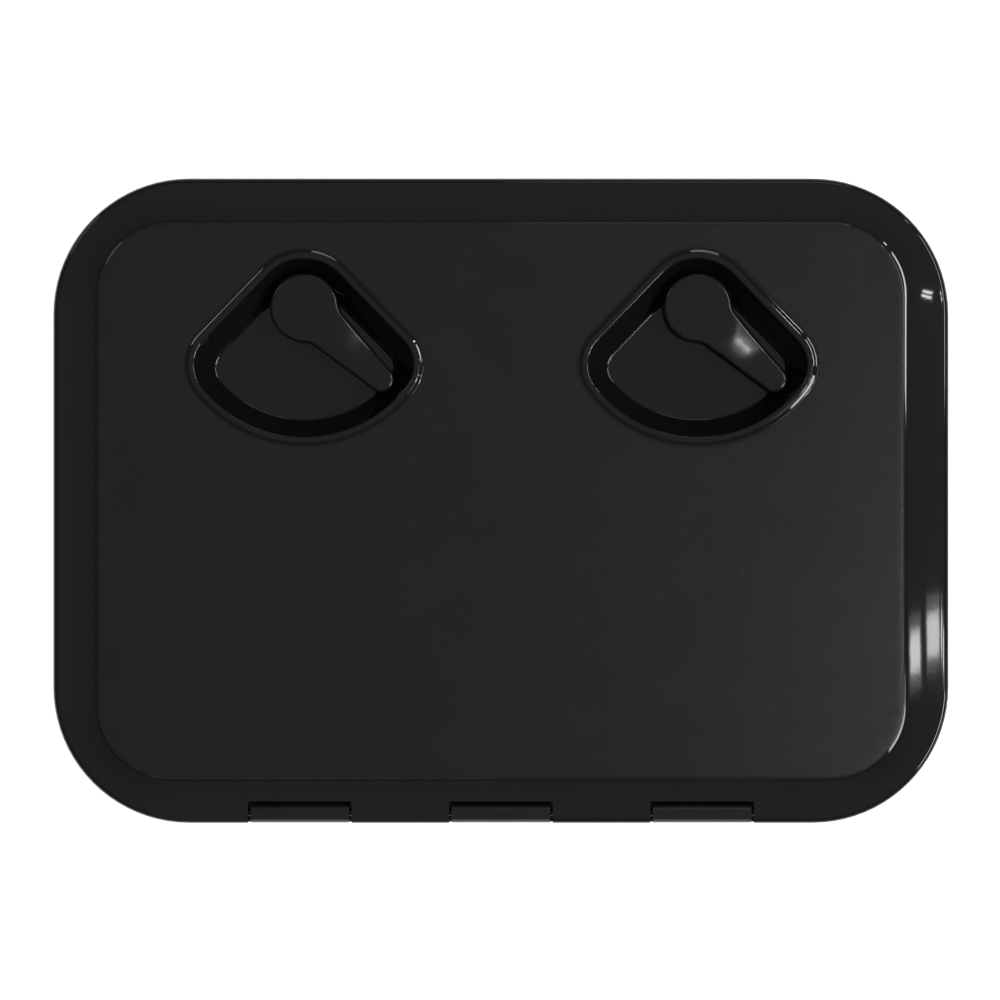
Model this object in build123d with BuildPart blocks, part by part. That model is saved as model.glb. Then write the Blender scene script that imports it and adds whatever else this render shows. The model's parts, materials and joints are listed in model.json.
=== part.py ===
from build123d import *
import math
import os

# Deck hatch, millimetres. Z is up and z = 0 is the deck under the frame's flange.
# X runs along the hatch, -Y is the hinge side and +Y is the latch side.

# ---------------------------------------------------------------- driving sizes
# Lid outline and section
LID_LENGTH = 375.0
LID_WIDTH = 270.0
LID_CORNER = 57.0
LID_WALL = 3.0
LID_ROOF = 3.2
LID_FLANGE_GAP = 0.5
KNUCKLE_COVER = 0.4
LID_EDGE_ROUND = 2.5
BORDER_WIDTH = 18.8
BORDER_RISE = 3.2
PANEL_CORNER = 31.5
PANEL_STEP = 0.8
PANEL_ROUND = 0.7
ROOF_INSET = 2.7

# Ribs under the lid
RIB_THICKNESS = 2.0
RIB_DEPTH = 6.8
RIB_COLUMN_PITCH = 52.0
RIB_ROW_PITCH = 42.0
RIB_GRID_Y = -9.0

# Frame
FLANGE_THICKNESS = 3.5
FLANGE_CORNER = 56.0
FLANGE_ROUND = 1.0
FLANGE_WIDTH = 26.0
OPENING_CORNER = 27.0
COLLAR_WALL = 3.0
COLLAR_DEPTH = 30.0
COAMING_HEIGHT = 10.0
COAMING_ROUND = 0.8

# Deck screw holes in the flange
SCREW_HOLE_RADIUS = 2.15
SCREW_SINK_RADIUS = 4.2
CORNER_SCREW_INSET = 26.5
EDGE_SCREW_SHIFT = 0.25
EDGE_SCREW_SPACING = 84.0

# Lid seal
SEAL_WIDTH = 8.0
SEAL_GAP = 0.3
CHANNEL_WALL = 1.6
CHANNEL_DEPTH = 2.0

# Hinge
KNUCKLE_INSET = 0.1
HINGE_COUNT = 3
HINGE_PITCH = 84.2
KNUCKLE_RADIUS = 4.3
KNUCKLE_FLAT = 3.8
KNUCKLE_LENGTH = 41.2
KNUCKLE_SIDE_GAP = 1.1
KNUCKLE_BACK_GAP = 0.5
PIN_RADIUS = 1.5
PIN_SEAT = 8.0
EAR_LENGTH = 9.0
EAR_WALL = 2.5
EAR_SINK = 0.6
PIN_CHAMFER = 0.3
SWING_CLEARANCE = 0.3

# Latch places
LATCH_SPACING = 164.6
LATCH_INSET = 54.2

# Latch recess in the lid, a fan that widens from the knob towards the lever's sweep
RECESS_SLOPE = 44.0
RECESS_DEPTH = 13.0
RIM_APEX = 20.6
RIM_REACH = 54.2
RIM_CORNER = 15.0
RIM_ROUND = 1.2
SHOULDER_RISE = 0.8
SHOULDER_WIDTH = 4.9
SHOULDER_LAND = 1.5
FLOOR_APEX = 12.2
FLOOR_REACH = 47.2
FLOOR_CORNER = 8.5
FLOOR_ROUND = 2.0
POD_WALL = 2.8
POD_FLOOR = 3.0
BOSS_RADIUS = 11.0
BOSS_LENGTH = 7.0

# Latch handle
HANDLE_SINK = 0.6
KNOB_RADIUS = 14.4
KNOB_THICKNESS = 7.0
LEVER_ROOT = 10.0
LEVER_ROOT_RADIUS = 9.3
LEVER_TIP = 44.0
LEVER_TIP_RADIUS = 5.5
LEVER_THICKNESS = 5.8
LEVER_DRAFT = 4.0
LEVER_BLEND = 8.0
LEVER_ANGLE = -43.0
HANDLE_ROUND = 1.6
KNOB_INSET = 1.0
HUB_RADIUS = 9.5
SPINDLE_RADIUS = 5.0
SPINDLE_SQUARE = 7.0

# Bush, seal and washers on the spindle
RUNNING_FIT = 0.05
BUSH_WALL = 1.45
BUSH_FLANGE_RADIUS = 8.5
BUSH_FLANGE = 0.8
FACE_GAP = 0.3
SPINDLE_SEAL_DEPTH = 3.5
SPINDLE_SEAL_SECTION = 0.65
SPINDLE_SEAL_INSET = 0.15
THRUST_RADIUS = 9.0
THRUST_THICKNESS = 0.8
THRUST_GAP = 0.2

# Cam and the screw that holds it
CAM_THICKNESS = 5.0
CAM_HUB_RADIUS = 9.0
CAM_WIDTH = 14.0
CAM_CLEARANCE = 1.2
CAM_ANGLE = 180.0
CAM_ROUND = 0.6
CAM_TIP_ROUND = 3.5
SQUARE_FIT = 0.05
CAM_WASHER_RADIUS = 7.0
CAM_WASHER_THICKNESS = 1.0
CAM_SCREW_RADIUS = 2.5
CAM_SCREW_LENGTH = 14.0
CAM_SCREW_HEAD_RADIUS = 4.5
CAM_SCREW_HEAD_HEIGHT = 2.6
DRIVE_WIDTH = 1.1
DRIVE_LENGTH = 5.0
DRIVE_DEPTH = 1.4

# Keeper lugs inside the collar
KEEPER_WIDTH = 18.0
KEEPER_REACH = 9.5
KEEPER_HEIGHT = 6.0
KEEPER_GAP = 0.5
KEEPER_RAMP = 1.5

# ---------------------------------------------------------------- heights and places from them
SKIRT_BOTTOM = FLANGE_THICKNESS + LID_FLANGE_GAP
LID_EDGE_HEIGHT = 2 * KNUCKLE_RADIUS + KNUCKLE_COVER
EDGE_TOP = SKIRT_BOTTOM + LID_EDGE_HEIGHT
BORDER_TOP = EDGE_TOP + BORDER_RISE
BORDER_SLOPE = math.degrees(math.atan2(BORDER_RISE, BORDER_WIDTH))
PANEL_TOP = BORDER_TOP + PANEL_STEP
CEILING = PANEL_TOP - LID_ROOF
PANEL_LENGTH = LID_LENGTH - 2 * BORDER_WIDTH
PANEL_WIDTH = LID_WIDTH - 2 * BORDER_WIDTH
CEILING_LENGTH = PANEL_LENGTH - 2 * ROOF_INSET
CEILING_WIDTH = PANEL_WIDTH - 2 * ROOF_INSET
COLLAR_LENGTH = LID_LENGTH - 2 * FLANGE_WIDTH
COLLAR_WIDTH = LID_WIDTH - 2 * FLANGE_WIDTH
OPENING_LENGTH = COLLAR_LENGTH - 2 * COLLAR_WALL
OPENING_WIDTH = COLLAR_WIDTH - 2 * COLLAR_WALL
EDGE_SCREW_INSET = FLANGE_WIDTH / 2 + EDGE_SCREW_SHIFT

HINGE_INSET = KNUCKLE_RADIUS + KNUCKLE_INSET
HINGE_Y = -(LID_WIDTH / 2 - HINGE_INSET)
HINGE_HEIGHT = EDGE_TOP - KNUCKLE_FLAT
HINGE_CENTRES = [(i - (HINGE_COUNT - 1) / 2) * HINGE_PITCH for i in range(HINGE_COUNT)]
NOTCH_LENGTH = KNUCKLE_LENGTH + 2 * KNUCKLE_SIDE_GAP
NOTCH_BACK_Y = HINGE_Y + KNUCKLE_RADIUS + KNUCKLE_BACK_GAP
EAR_BACK_Y = NOTCH_BACK_Y + EAR_WALL
PIN_LENGTH = NOTCH_LENGTH + 2 * PIN_SEAT

# The skirt's outer corner clears the flange as the lid turns over the hinge axis.
SWING_RADIUS = HINGE_HEIGHT - FLANGE_THICKNESS - SWING_CLEARANCE
HINGE_SKIRT_BOTTOM = HINGE_HEIGHT - math.sqrt(SWING_RADIUS**2 - HINGE_INSET**2)
HINGE_SKIRT_SPAN = LID_LENGTH - 2 * LID_CORNER + 2 * math.sqrt(2 * LID_CORNER * HINGE_INSET)

LATCH_Y = LID_WIDTH / 2 - LATCH_INSET
RECESS_FLOOR = PANEL_TOP - RECESS_DEPTH
RIM_TOP = PANEL_TOP + SHOULDER_RISE
POD_BOTTOM = RECESS_FLOOR - POD_FLOOR
BOSS_BOTTOM = POD_BOTTOM - BOSS_LENGTH
HANDLE_TOP = PANEL_TOP - HANDLE_SINK
KNOB_BOTTOM = HANDLE_TOP - KNOB_THICKNESS
BUSH_BORE_RADIUS = SPINDLE_RADIUS + RUNNING_FIT
BUSH_RADIUS = BUSH_BORE_RADIUS + BUSH_WALL
HUB_BOTTOM = RECESS_FLOOR + BUSH_FLANGE + FACE_GAP
SPINDLE_SEAL_HEIGHT = RECESS_FLOOR - SPINDLE_SEAL_DEPTH
SPINDLE_SEAL_RADIUS = SPINDLE_RADIUS - SPINDLE_SEAL_SECTION - SPINDLE_SEAL_INSET
THRUST_TOP = BOSS_BOTTOM - THRUST_GAP
CAM_TOP = THRUST_TOP - THRUST_THICKNESS
CAM_BOTTOM = CAM_TOP - CAM_THICKNESS
CAM_REACH = OPENING_WIDTH / 2 - LATCH_Y - CAM_CLEARANCE
SPINDLE_END = CAM_BOTTOM + SQUARE_FIT
CAM_SCREW_SEAT = CAM_BOTTOM - CAM_WASHER_THICKNESS
KEEPER_BOTTOM = CAM_TOP + KEEPER_GAP

TINY = 0.01
OVERCUT = 1.0
LATCH_SIDES = {"left": -1, "right": 1}
HINGE_NAMES = ["left", "middle", "right"]

os.makedirs("parts", exist_ok=True)


# ---------------------------------------------------------------- shared outlines and planes
def save(part, name):
    """Label a finished piece and write it as its own STEP file."""
    part.label = name
    export_step(part, f"parts/{name}.step")


def latch_plane(side, height, turn=0.0):
    """Plane on a latch's spindle axis, with its x direction turned from +X."""
    heading = math.radians(turn)
    direction = (math.cos(heading), math.sin(heading), 0)
    return Plane(origin=(side * LATCH_SPACING / 2, LATCH_Y, height), x_dir=direction, z_dir=(0, 0, 1))


def fan_outline(plane, apex, reach, corner):
    """Fan outline about the spindle: apex arc, two straight sides, rounded corners and a far arc."""
    slope = math.radians(RECESS_SLOPE)
    normal = Vector(math.cos(slope), math.sin(slope))
    along = Vector(math.sin(slope), -math.cos(slope))
    run = math.sqrt((reach - corner) ** 2 - (apex - corner) ** 2)
    centre = normal * (apex - corner) + along * run
    outward = centre.normalized()
    side_start = normal * apex
    side_end = centre + normal * corner
    corner_middle = centre + (normal + outward).normalized() * corner
    corner_end = centre + outward * corner
    with BuildSketch(plane) as fan:
        with BuildLine():
            for hand in (-1, 1):
                Line((hand * side_start.X, side_start.Y), (hand * side_end.X, side_end.Y))
                ThreePointArc(
                    (hand * side_end.X, side_end.Y),
                    (hand * corner_middle.X, corner_middle.Y),
                    (hand * corner_end.X, corner_end.Y),
                )
            ThreePointArc((-side_start.X, side_start.Y), (0, apex), (side_start.X, side_start.Y))
            ThreePointArc((-corner_end.X, corner_end.Y), (0, -reach), (corner_end.X, corner_end.Y))
        make_face()
    return fan.sketch


def rim_fan(side, height, margin=0.0):
    """Fan of one recess's rim at a height, larger by a margin all round."""
    apex, reach, corner = RIM_APEX + margin, RIM_REACH + margin, RIM_CORNER + margin
    return fan_outline(latch_plane(side, height), apex, reach, corner)


def floor_fan(side, height, margin=0.0):
    """Fan of one recess's floor at a height, larger by a margin all round."""
    apex, reach, corner = FLOOR_APEX + margin, FLOOR_REACH + margin, FLOOR_CORNER + margin
    return fan_outline(latch_plane(side, height), apex, reach, corner)


def recess_form(side):
    """The hollow of one latch recess: fan at the floor, wider fan at the rim, rounded at the floor."""
    with BuildPart() as hollow:
        loft([floor_fan(side, RECESS_FLOOR), rim_fan(side, RIM_TOP)], ruled=True)
        fillet(hollow.faces().sort_by(Axis.Z)[0].edges(), FLOOR_ROUND)
    return hollow.part


def handle_outline(plane):
    """Knob circle and a lever along the plane's x direction, blended where they meet."""
    lean = math.asin((LEVER_ROOT_RADIUS - LEVER_TIP_RADIUS) / (LEVER_TIP - LEVER_ROOT))
    root_x = LEVER_ROOT + LEVER_ROOT_RADIUS * math.sin(lean)
    root_y = LEVER_ROOT_RADIUS * math.cos(lean)
    tip_x = LEVER_TIP + LEVER_TIP_RADIUS * math.sin(lean)
    tip_y = LEVER_TIP_RADIUS * math.cos(lean)
    with BuildSketch(plane) as outline:
        with BuildLine():
            Polyline(
                (tip_x, tip_y),
                (root_x, root_y),
                (0, root_y),
                (0, -root_y),
                (root_x, -root_y),
                (tip_x, -tip_y),
            )
            ThreePointArc((tip_x, -tip_y), (LEVER_TIP + LEVER_TIP_RADIUS, 0), (tip_x, tip_y))
        make_face()
        Circle(KNOB_RADIUS)
        roots = outline.vertices().sort_by(Axis.X)[:2]
        fillet(roots, LEVER_BLEND)
    return outline.sketch


# ---------------------------------------------------------------- frame
with BuildPart() as frame:
    # Deck flange and the collar that stands through it
    with BuildSketch(Plane.XY):
        RectangleRounded(LID_LENGTH, LID_WIDTH, FLANGE_CORNER)
    extrude(amount=FLANGE_THICKNESS)
    fillet(frame.faces().sort_by(Axis.Z)[-1].edges(), FLANGE_ROUND)
    with BuildSketch(Plane.XY.offset(-COLLAR_DEPTH)):
        RectangleRounded(COLLAR_LENGTH, COLLAR_WIDTH, OPENING_CORNER + COLLAR_WALL)
    extrude(amount=COLLAR_DEPTH + COAMING_HEIGHT)
    with BuildSketch(Plane.XY.offset(-COLLAR_DEPTH - OVERCUT)):
        RectangleRounded(OPENING_LENGTH, OPENING_WIDTH, OPENING_CORNER)
    extrude(amount=COLLAR_DEPTH + COAMING_HEIGHT + 2 * OVERCUT, mode=Mode.SUBTRACT)
    fillet(frame.faces().sort_by(Axis.Z)[-1].edges(), COAMING_ROUND)

    # Hinge knuckles: a round eye on a web that stands on the flange, its top flattened to the border's slope
    for hinge_x in HINGE_CENTRES:
        with BuildSketch(Plane.YZ.offset(hinge_x)):
            with Locations((HINGE_Y, HINGE_HEIGHT)):
                Circle(KNUCKLE_RADIUS)
            with Locations(Location((HINGE_Y, HINGE_HEIGHT, 0), (0, 0, BORDER_SLOPE))):
                with Locations((0, KNUCKLE_FLAT + OVERCUT)):
                    Rectangle(2 * KNUCKLE_RADIUS, 2 * OVERCUT, mode=Mode.SUBTRACT)
            with Locations((HINGE_Y, HINGE_HEIGHT / 2)):
                Rectangle(2 * KNUCKLE_RADIUS, HINGE_HEIGHT)
            with Locations((HINGE_Y, HINGE_HEIGHT)):
                Circle(PIN_RADIUS + RUNNING_FIT, mode=Mode.SUBTRACT)
        extrude(amount=KNUCKLE_LENGTH / 2, both=True)

    # Keeper lugs inside the collar, above where the cams turn
    for side in LATCH_SIDES.values():
        with BuildSketch(Plane.XZ.offset(-OPENING_WIDTH / 2 - COLLAR_WALL / 2)):
            with BuildLine():
                left = side * LATCH_SPACING / 2 - KEEPER_WIDTH / 2
                right = left + KEEPER_WIDTH
                top = KEEPER_BOTTOM + KEEPER_HEIGHT
                ramp_corner = (left + 2 * KEEPER_RAMP, KEEPER_BOTTOM)
                Polyline(
                    ramp_corner,
                    (right, KEEPER_BOTTOM),
                    (right, top),
                    (left, top),
                    (left, KEEPER_BOTTOM + KEEPER_RAMP),
                    ramp_corner,
                )
            make_face()
        extrude(amount=KEEPER_REACH + COLLAR_WALL / 2)

    # Countersunk deck screw holes round the flange
    with Locations(Plane.XY.offset(FLANGE_THICKNESS)):
        with GridLocations(LID_LENGTH - 2 * CORNER_SCREW_INSET, LID_WIDTH - 2 * CORNER_SCREW_INSET, 2, 2):
            CounterSinkHole(SCREW_HOLE_RADIUS, SCREW_SINK_RADIUS, FLANGE_THICKNESS)
        with GridLocations(EDGE_SCREW_SPACING, LID_WIDTH - 2 * EDGE_SCREW_INSET, 2, 2):
            CounterSinkHole(SCREW_HOLE_RADIUS, SCREW_SINK_RADIUS, FLANGE_THICKNESS)
        with GridLocations(LID_LENGTH - 2 * EDGE_SCREW_INSET, 1, 2, 1):
            CounterSinkHole(SCREW_HOLE_RADIUS, SCREW_SINK_RADIUS, FLANGE_THICKNESS)
save(frame.part, "frame")

# ---------------------------------------------------------------- lid
with BuildPart() as lid:
    # Outer form: straight edge, sloping border, and a panel that stands proud of it
    with BuildSketch(Plane.XY.offset(SKIRT_BOTTOM)):
        RectangleRounded(LID_LENGTH, LID_WIDTH, LID_CORNER)
    extrude(amount=LID_EDGE_HEIGHT)
    with BuildSketch(Plane.XY.offset(EDGE_TOP)):
        RectangleRounded(LID_LENGTH, LID_WIDTH, LID_CORNER)
    with BuildSketch(Plane.XY.offset(BORDER_TOP)):
        RectangleRounded(PANEL_LENGTH, PANEL_WIDTH, PANEL_CORNER)
    loft()
    rim_edges = lid.edges().filter_by_position(Axis.Z, EDGE_TOP - TINY, EDGE_TOP + TINY)
    fillet(rim_edges, LID_EDGE_ROUND)
    with BuildSketch(Plane.XY.offset(BORDER_TOP)):
        RectangleRounded(PANEL_LENGTH, PANEL_WIDTH, PANEL_CORNER)
    extrude(amount=PANEL_STEP)
    fillet(lid.faces().sort_by(Axis.Z)[-1].edges(), PANEL_ROUND)

    # Hollow underside
    with BuildSketch(Plane.XY.offset(SKIRT_BOTTOM)):
        RectangleRounded(LID_LENGTH - 2 * LID_WALL, LID_WIDTH - 2 * LID_WALL, LID_CORNER - LID_WALL)
    extrude(amount=LID_EDGE_HEIGHT - LID_WALL, mode=Mode.SUBTRACT)
    with BuildSketch(Plane.XY.offset(EDGE_TOP - LID_WALL)):
        RectangleRounded(LID_LENGTH - 2 * LID_WALL, LID_WIDTH - 2 * LID_WALL, LID_CORNER - LID_WALL)
    with BuildSketch(Plane.XY.offset(CEILING)):
        RectangleRounded(CEILING_LENGTH, CEILING_WIDTH, PANEL_CORNER - ROOF_INSET)
    loft(mode=Mode.SUBTRACT)

    # Channel for the seal: a low rib on each side of it
    for outline in (SEAL_WIDTH + 2 * CHANNEL_WALL, -SEAL_WIDTH):
        with BuildSketch(Plane.XY.offset(CEILING - CHANNEL_DEPTH)):
            seal_line = COLLAR_WALL + outline
            seal_corner = OPENING_CORNER + seal_line / 2
            RectangleRounded(OPENING_LENGTH + seal_line, OPENING_WIDTH + seal_line, seal_corner)
            offset(amount=-CHANNEL_WALL, mode=Mode.SUBTRACT)
        extrude(amount=CHANNEL_DEPTH + TINY)

    # Stiffening ribs inside the channel
    rib_length = OPENING_LENGTH + COLLAR_WALL - SEAL_WIDTH - CHANNEL_WALL
    rib_width = OPENING_WIDTH + COLLAR_WALL - SEAL_WIDTH - CHANNEL_WALL
    rib_columns = int(rib_length / RIB_COLUMN_PITCH)
    rib_rows = int(rib_width / RIB_ROW_PITCH)
    with BuildSketch(Plane.XY.offset(CEILING - RIB_DEPTH)):
        with GridLocations(RIB_COLUMN_PITCH, 1, rib_columns, 1):
            Rectangle(RIB_THICKNESS, rib_width)
        with Locations((0, RIB_GRID_Y)):
            with GridLocations(1, RIB_ROW_PITCH, 1, rib_rows):
                Rectangle(rib_length, RIB_THICKNESS)
    extrude(amount=RIB_DEPTH + TINY)

    # Hinge ears and the wall behind each notch
    ear_top = EDGE_TOP - EAR_SINK
    ear_front_y = -(LID_WIDTH - LID_WALL) / 2
    with BuildSketch(Plane.XY.offset(HINGE_SKIRT_BOTTOM)):
        for hinge_x in HINGE_CENTRES:
            with Locations((hinge_x, (ear_front_y + EAR_BACK_Y) / 2)):
                Rectangle(NOTCH_LENGTH + 2 * EAR_LENGTH, EAR_BACK_Y - ear_front_y)
    extrude(amount=ear_top - HINGE_SKIRT_BOTTOM)

    # Notches that the knuckles stand in, the pin holes, and the relief that lets the lid turn
    for hinge_x in HINGE_CENTRES:
        with BuildSketch(Plane.XY):
            with Locations((hinge_x, NOTCH_BACK_Y - LID_WIDTH / 2)):
                Rectangle(NOTCH_LENGTH, LID_WIDTH)
        extrude(amount=PANEL_TOP, mode=Mode.SUBTRACT)
        with BuildSketch(Plane.YZ.offset(hinge_x)):
            with Locations((HINGE_Y, HINGE_HEIGHT)):
                Circle(PIN_RADIUS)
        extrude(amount=NOTCH_LENGTH / 2 + EAR_LENGTH + OVERCUT, both=True, mode=Mode.SUBTRACT)
    with BuildSketch(Plane.XY):
        with Locations((0, HINGE_Y - LID_WIDTH / 2 + KNUCKLE_BACK_GAP)):
            Rectangle(HINGE_SKIRT_SPAN + 2 * OVERCUT, LID_WIDTH)
    extrude(amount=HINGE_SKIRT_BOTTOM, mode=Mode.SUBTRACT)

    # Latch pods: drafted wall and floor, a boss for the spindle, and a raised shoulder round the rim
    for side in LATCH_SIDES.values():
        loft([floor_fan(side, POD_BOTTOM, POD_WALL), rim_fan(side, BORDER_TOP, POD_WALL)], ruled=True)
        loft([rim_fan(side, PANEL_TOP, SHOULDER_WIDTH), rim_fan(side, RIM_TOP, SHOULDER_LAND)], ruled=True)
        with BuildSketch(latch_plane(side, BOSS_BOTTOM)):
            Circle(BOSS_RADIUS)
        extrude(amount=BOSS_LENGTH + POD_FLOOR / 2)
    for side in LATCH_SIDES.values():
        add(recess_form(side), mode=Mode.SUBTRACT)
    land_faces = lid.faces().group_by(Axis.Z)[-1]
    fillet([edge for face in land_faces for wire in face.inner_wires() for edge in wire.edges()], RIM_ROUND)
    for side in LATCH_SIDES.values():
        with BuildSketch(latch_plane(side, BOSS_BOTTOM)):
            Circle(BUSH_RADIUS)
        extrude(amount=RECESS_FLOOR - BOSS_BOTTOM + TINY, mode=Mode.SUBTRACT)
save(lid.part, "lid")

# ---------------------------------------------------------------- lid seal
with BuildPart() as lid_seal:
    seal_bottom = COAMING_HEIGHT + SEAL_GAP
    with BuildSketch(Plane.XY.offset(seal_bottom)):
        seal_line = COLLAR_WALL + SEAL_WIDTH
        seal_corner = OPENING_CORNER + seal_line / 2
        RectangleRounded(OPENING_LENGTH + seal_line, OPENING_WIDTH + seal_line, seal_corner)
        offset(amount=-SEAL_WIDTH, mode=Mode.SUBTRACT)
    extrude(amount=CEILING - seal_bottom)
save(lid_seal.part, "lid_seal")

# ---------------------------------------------------------------- hinge pins
for hinge_name, hinge_x in zip(HINGE_NAMES, HINGE_CENTRES):
    with BuildPart() as hinge_pin:
        with BuildSketch(Plane.YZ.offset(hinge_x)):
            with Locations((HINGE_Y, HINGE_HEIGHT)):
                Circle(PIN_RADIUS)
        extrude(amount=PIN_LENGTH / 2, both=True)
        chamfer(hinge_pin.edges(), PIN_CHAMFER)
    save(hinge_pin.part, f"hinge_pin_{hinge_name}")


# ---------------------------------------------------------------- latches
def build_handle(side):
    """Knob, finger lever and spindle in one moulding, with a square end for the cam."""
    with BuildPart() as handle:
        outline = handle_outline(latch_plane(side, HANDLE_TOP, LEVER_ANGLE))
        extrude(outline, amount=-LEVER_THICKNESS, taper=LEVER_DRAFT)
        fillet(handle.faces().sort_by(Axis.Z)[-1].edges(), HANDLE_ROUND)
        with BuildSketch(latch_plane(side, KNOB_BOTTOM)):
            Circle(KNOB_RADIUS - KNOB_INSET)
        extrude(amount=HANDLE_TOP - LEVER_THICKNESS / 2 - KNOB_BOTTOM)
        with BuildSketch(latch_plane(side, HUB_BOTTOM)):
            Circle(HUB_RADIUS)
        extrude(amount=KNOB_BOTTOM - HUB_BOTTOM)
        with BuildSketch(latch_plane(side, CAM_TOP)):
            Circle(SPINDLE_RADIUS)
        extrude(amount=HUB_BOTTOM - CAM_TOP)
        with BuildSketch(latch_plane(side, SPINDLE_END, CAM_ANGLE)):
            Rectangle(SPINDLE_SQUARE, SPINDLE_SQUARE)
        extrude(amount=CAM_TOP - SPINDLE_END)
        seal_groove = SPINDLE_SEAL_SECTION + RUNNING_FIT
        with BuildSketch(latch_plane(side, SPINDLE_SEAL_HEIGHT - seal_groove)):
            Circle(SPINDLE_RADIUS)
            Circle(SPINDLE_SEAL_RADIUS - SPINDLE_SEAL_SECTION, mode=Mode.SUBTRACT)
        extrude(amount=2 * seal_groove, mode=Mode.SUBTRACT)
        with BuildSketch(latch_plane(side, SPINDLE_END)):
            Circle(CAM_SCREW_RADIUS)
        extrude(amount=CAM_SCREW_LENGTH, mode=Mode.SUBTRACT)
    return handle.part


def build_bush(side):
    """Flanged bush pressed into the lid's boss."""
    with BuildPart() as bush:
        with BuildSketch(latch_plane(side, BOSS_BOTTOM)):
            Circle(BUSH_RADIUS)
        extrude(amount=RECESS_FLOOR - BOSS_BOTTOM)
        with BuildSketch(latch_plane(side, RECESS_FLOOR)):
            Circle(BUSH_FLANGE_RADIUS)
        extrude(amount=BUSH_FLANGE)
        with BuildSketch(latch_plane(side, BOSS_BOTTOM)):
            Circle(BUSH_BORE_RADIUS)
        extrude(amount=RECESS_FLOOR + BUSH_FLANGE - BOSS_BOTTOM, mode=Mode.SUBTRACT)
    return bush.part


def build_spindle_seal(side):
    """Round rubber ring in the spindle's groove."""
    spindle_axis = latch_plane(side, SPINDLE_SEAL_HEIGHT)
    with BuildPart() as seal_ring:
        with BuildSketch(Plane(origin=spindle_axis.origin, x_dir=(1, 0, 0), z_dir=(0, -1, 0))):
            with Locations((SPINDLE_SEAL_RADIUS, 0)):
                Circle(SPINDLE_SEAL_SECTION)
        revolve(axis=Axis(spindle_axis.origin, (0, 0, 1)))
    return seal_ring.part


def build_washer(side, bottom, thickness, radius, bore):
    """Plain round washer on the spindle axis."""
    with BuildPart() as washer:
        with BuildSketch(latch_plane(side, bottom)):
            Circle(radius)
            Circle(bore, mode=Mode.SUBTRACT)
        extrude(amount=thickness)
    return washer.part


def build_cam(side):
    """Cam with a square hole and a tongue that turns under the keeper lug."""
    with BuildPart() as cam:
        with BuildSketch(latch_plane(side, CAM_BOTTOM, CAM_ANGLE)):
            Circle(CAM_HUB_RADIUS)
            with Locations((CAM_REACH / 2, 0)):
                Rectangle(CAM_REACH, CAM_WIDTH)
            tip_corners = vertices().group_by(Axis.X)[0]
            fillet(tip_corners, CAM_TIP_ROUND)
        extrude(amount=CAM_THICKNESS)
        outer_edges = cam.faces().sort_by(Axis.Z)[-1].edges() + cam.faces().sort_by(Axis.Z)[0].edges()
        fillet(outer_edges, CAM_ROUND)
        with BuildSketch(latch_plane(side, CAM_BOTTOM, CAM_ANGLE)):
            Rectangle(SPINDLE_SQUARE + 2 * SQUARE_FIT, SPINDLE_SQUARE + 2 * SQUARE_FIT)
        extrude(amount=CAM_THICKNESS, mode=Mode.SUBTRACT)
    return cam.part


def build_cam_screw(side):
    """Pan-head screw with a cross drive that holds the cam up on the spindle."""
    with BuildPart() as cam_screw:
        with BuildSketch(latch_plane(side, CAM_SCREW_SEAT)):
            Circle(CAM_SCREW_HEAD_RADIUS)
        extrude(amount=-CAM_SCREW_HEAD_HEIGHT)
        fillet(cam_screw.faces().sort_by(Axis.Z)[0].edges(), CAM_SCREW_HEAD_HEIGHT / 2)
        with BuildSketch(latch_plane(side, CAM_SCREW_SEAT)):
            Circle(CAM_SCREW_RADIUS)
        extrude(amount=CAM_SCREW_LENGTH)
        with BuildSketch(latch_plane(side, CAM_SCREW_SEAT - CAM_SCREW_HEAD_HEIGHT)):
            Rectangle(DRIVE_LENGTH, DRIVE_WIDTH)
            Rectangle(DRIVE_WIDTH, DRIVE_LENGTH)
        extrude(amount=DRIVE_DEPTH, mode=Mode.SUBTRACT)
    return cam_screw.part


for side_name, side in LATCH_SIDES.items():
    save(build_handle(side), f"latch_handle_{side_name}")
    save(build_bush(side), f"spindle_bush_{side_name}")
    save(build_spindle_seal(side), f"spindle_seal_{side_name}")
    thrust_bore = SPINDLE_RADIUS + RUNNING_FIT
    thrust_washer = build_washer(side, CAM_TOP, THRUST_THICKNESS, THRUST_RADIUS, thrust_bore)
    save(thrust_washer, f"thrust_washer_{side_name}")
    save(build_cam(side), f"latch_cam_{side_name}")
    screw_bore = CAM_SCREW_RADIUS + RUNNING_FIT
    cam_washer = build_washer(side, CAM_SCREW_SEAT, CAM_WASHER_THICKNESS, CAM_WASHER_RADIUS, screw_bore)
    save(cam_washer, f"cam_washer_{side_name}")
    save(build_cam_screw(side), f"cam_screw_{side_name}")
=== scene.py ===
"""Looks of a rectangular deck hatch: moulded lid, two lever latches, seal, frame and their hardware."""
import json
import logging
import math
from dataclasses import dataclass, field
from enum import Enum
from typing import Callable, Sequence, Union

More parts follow.
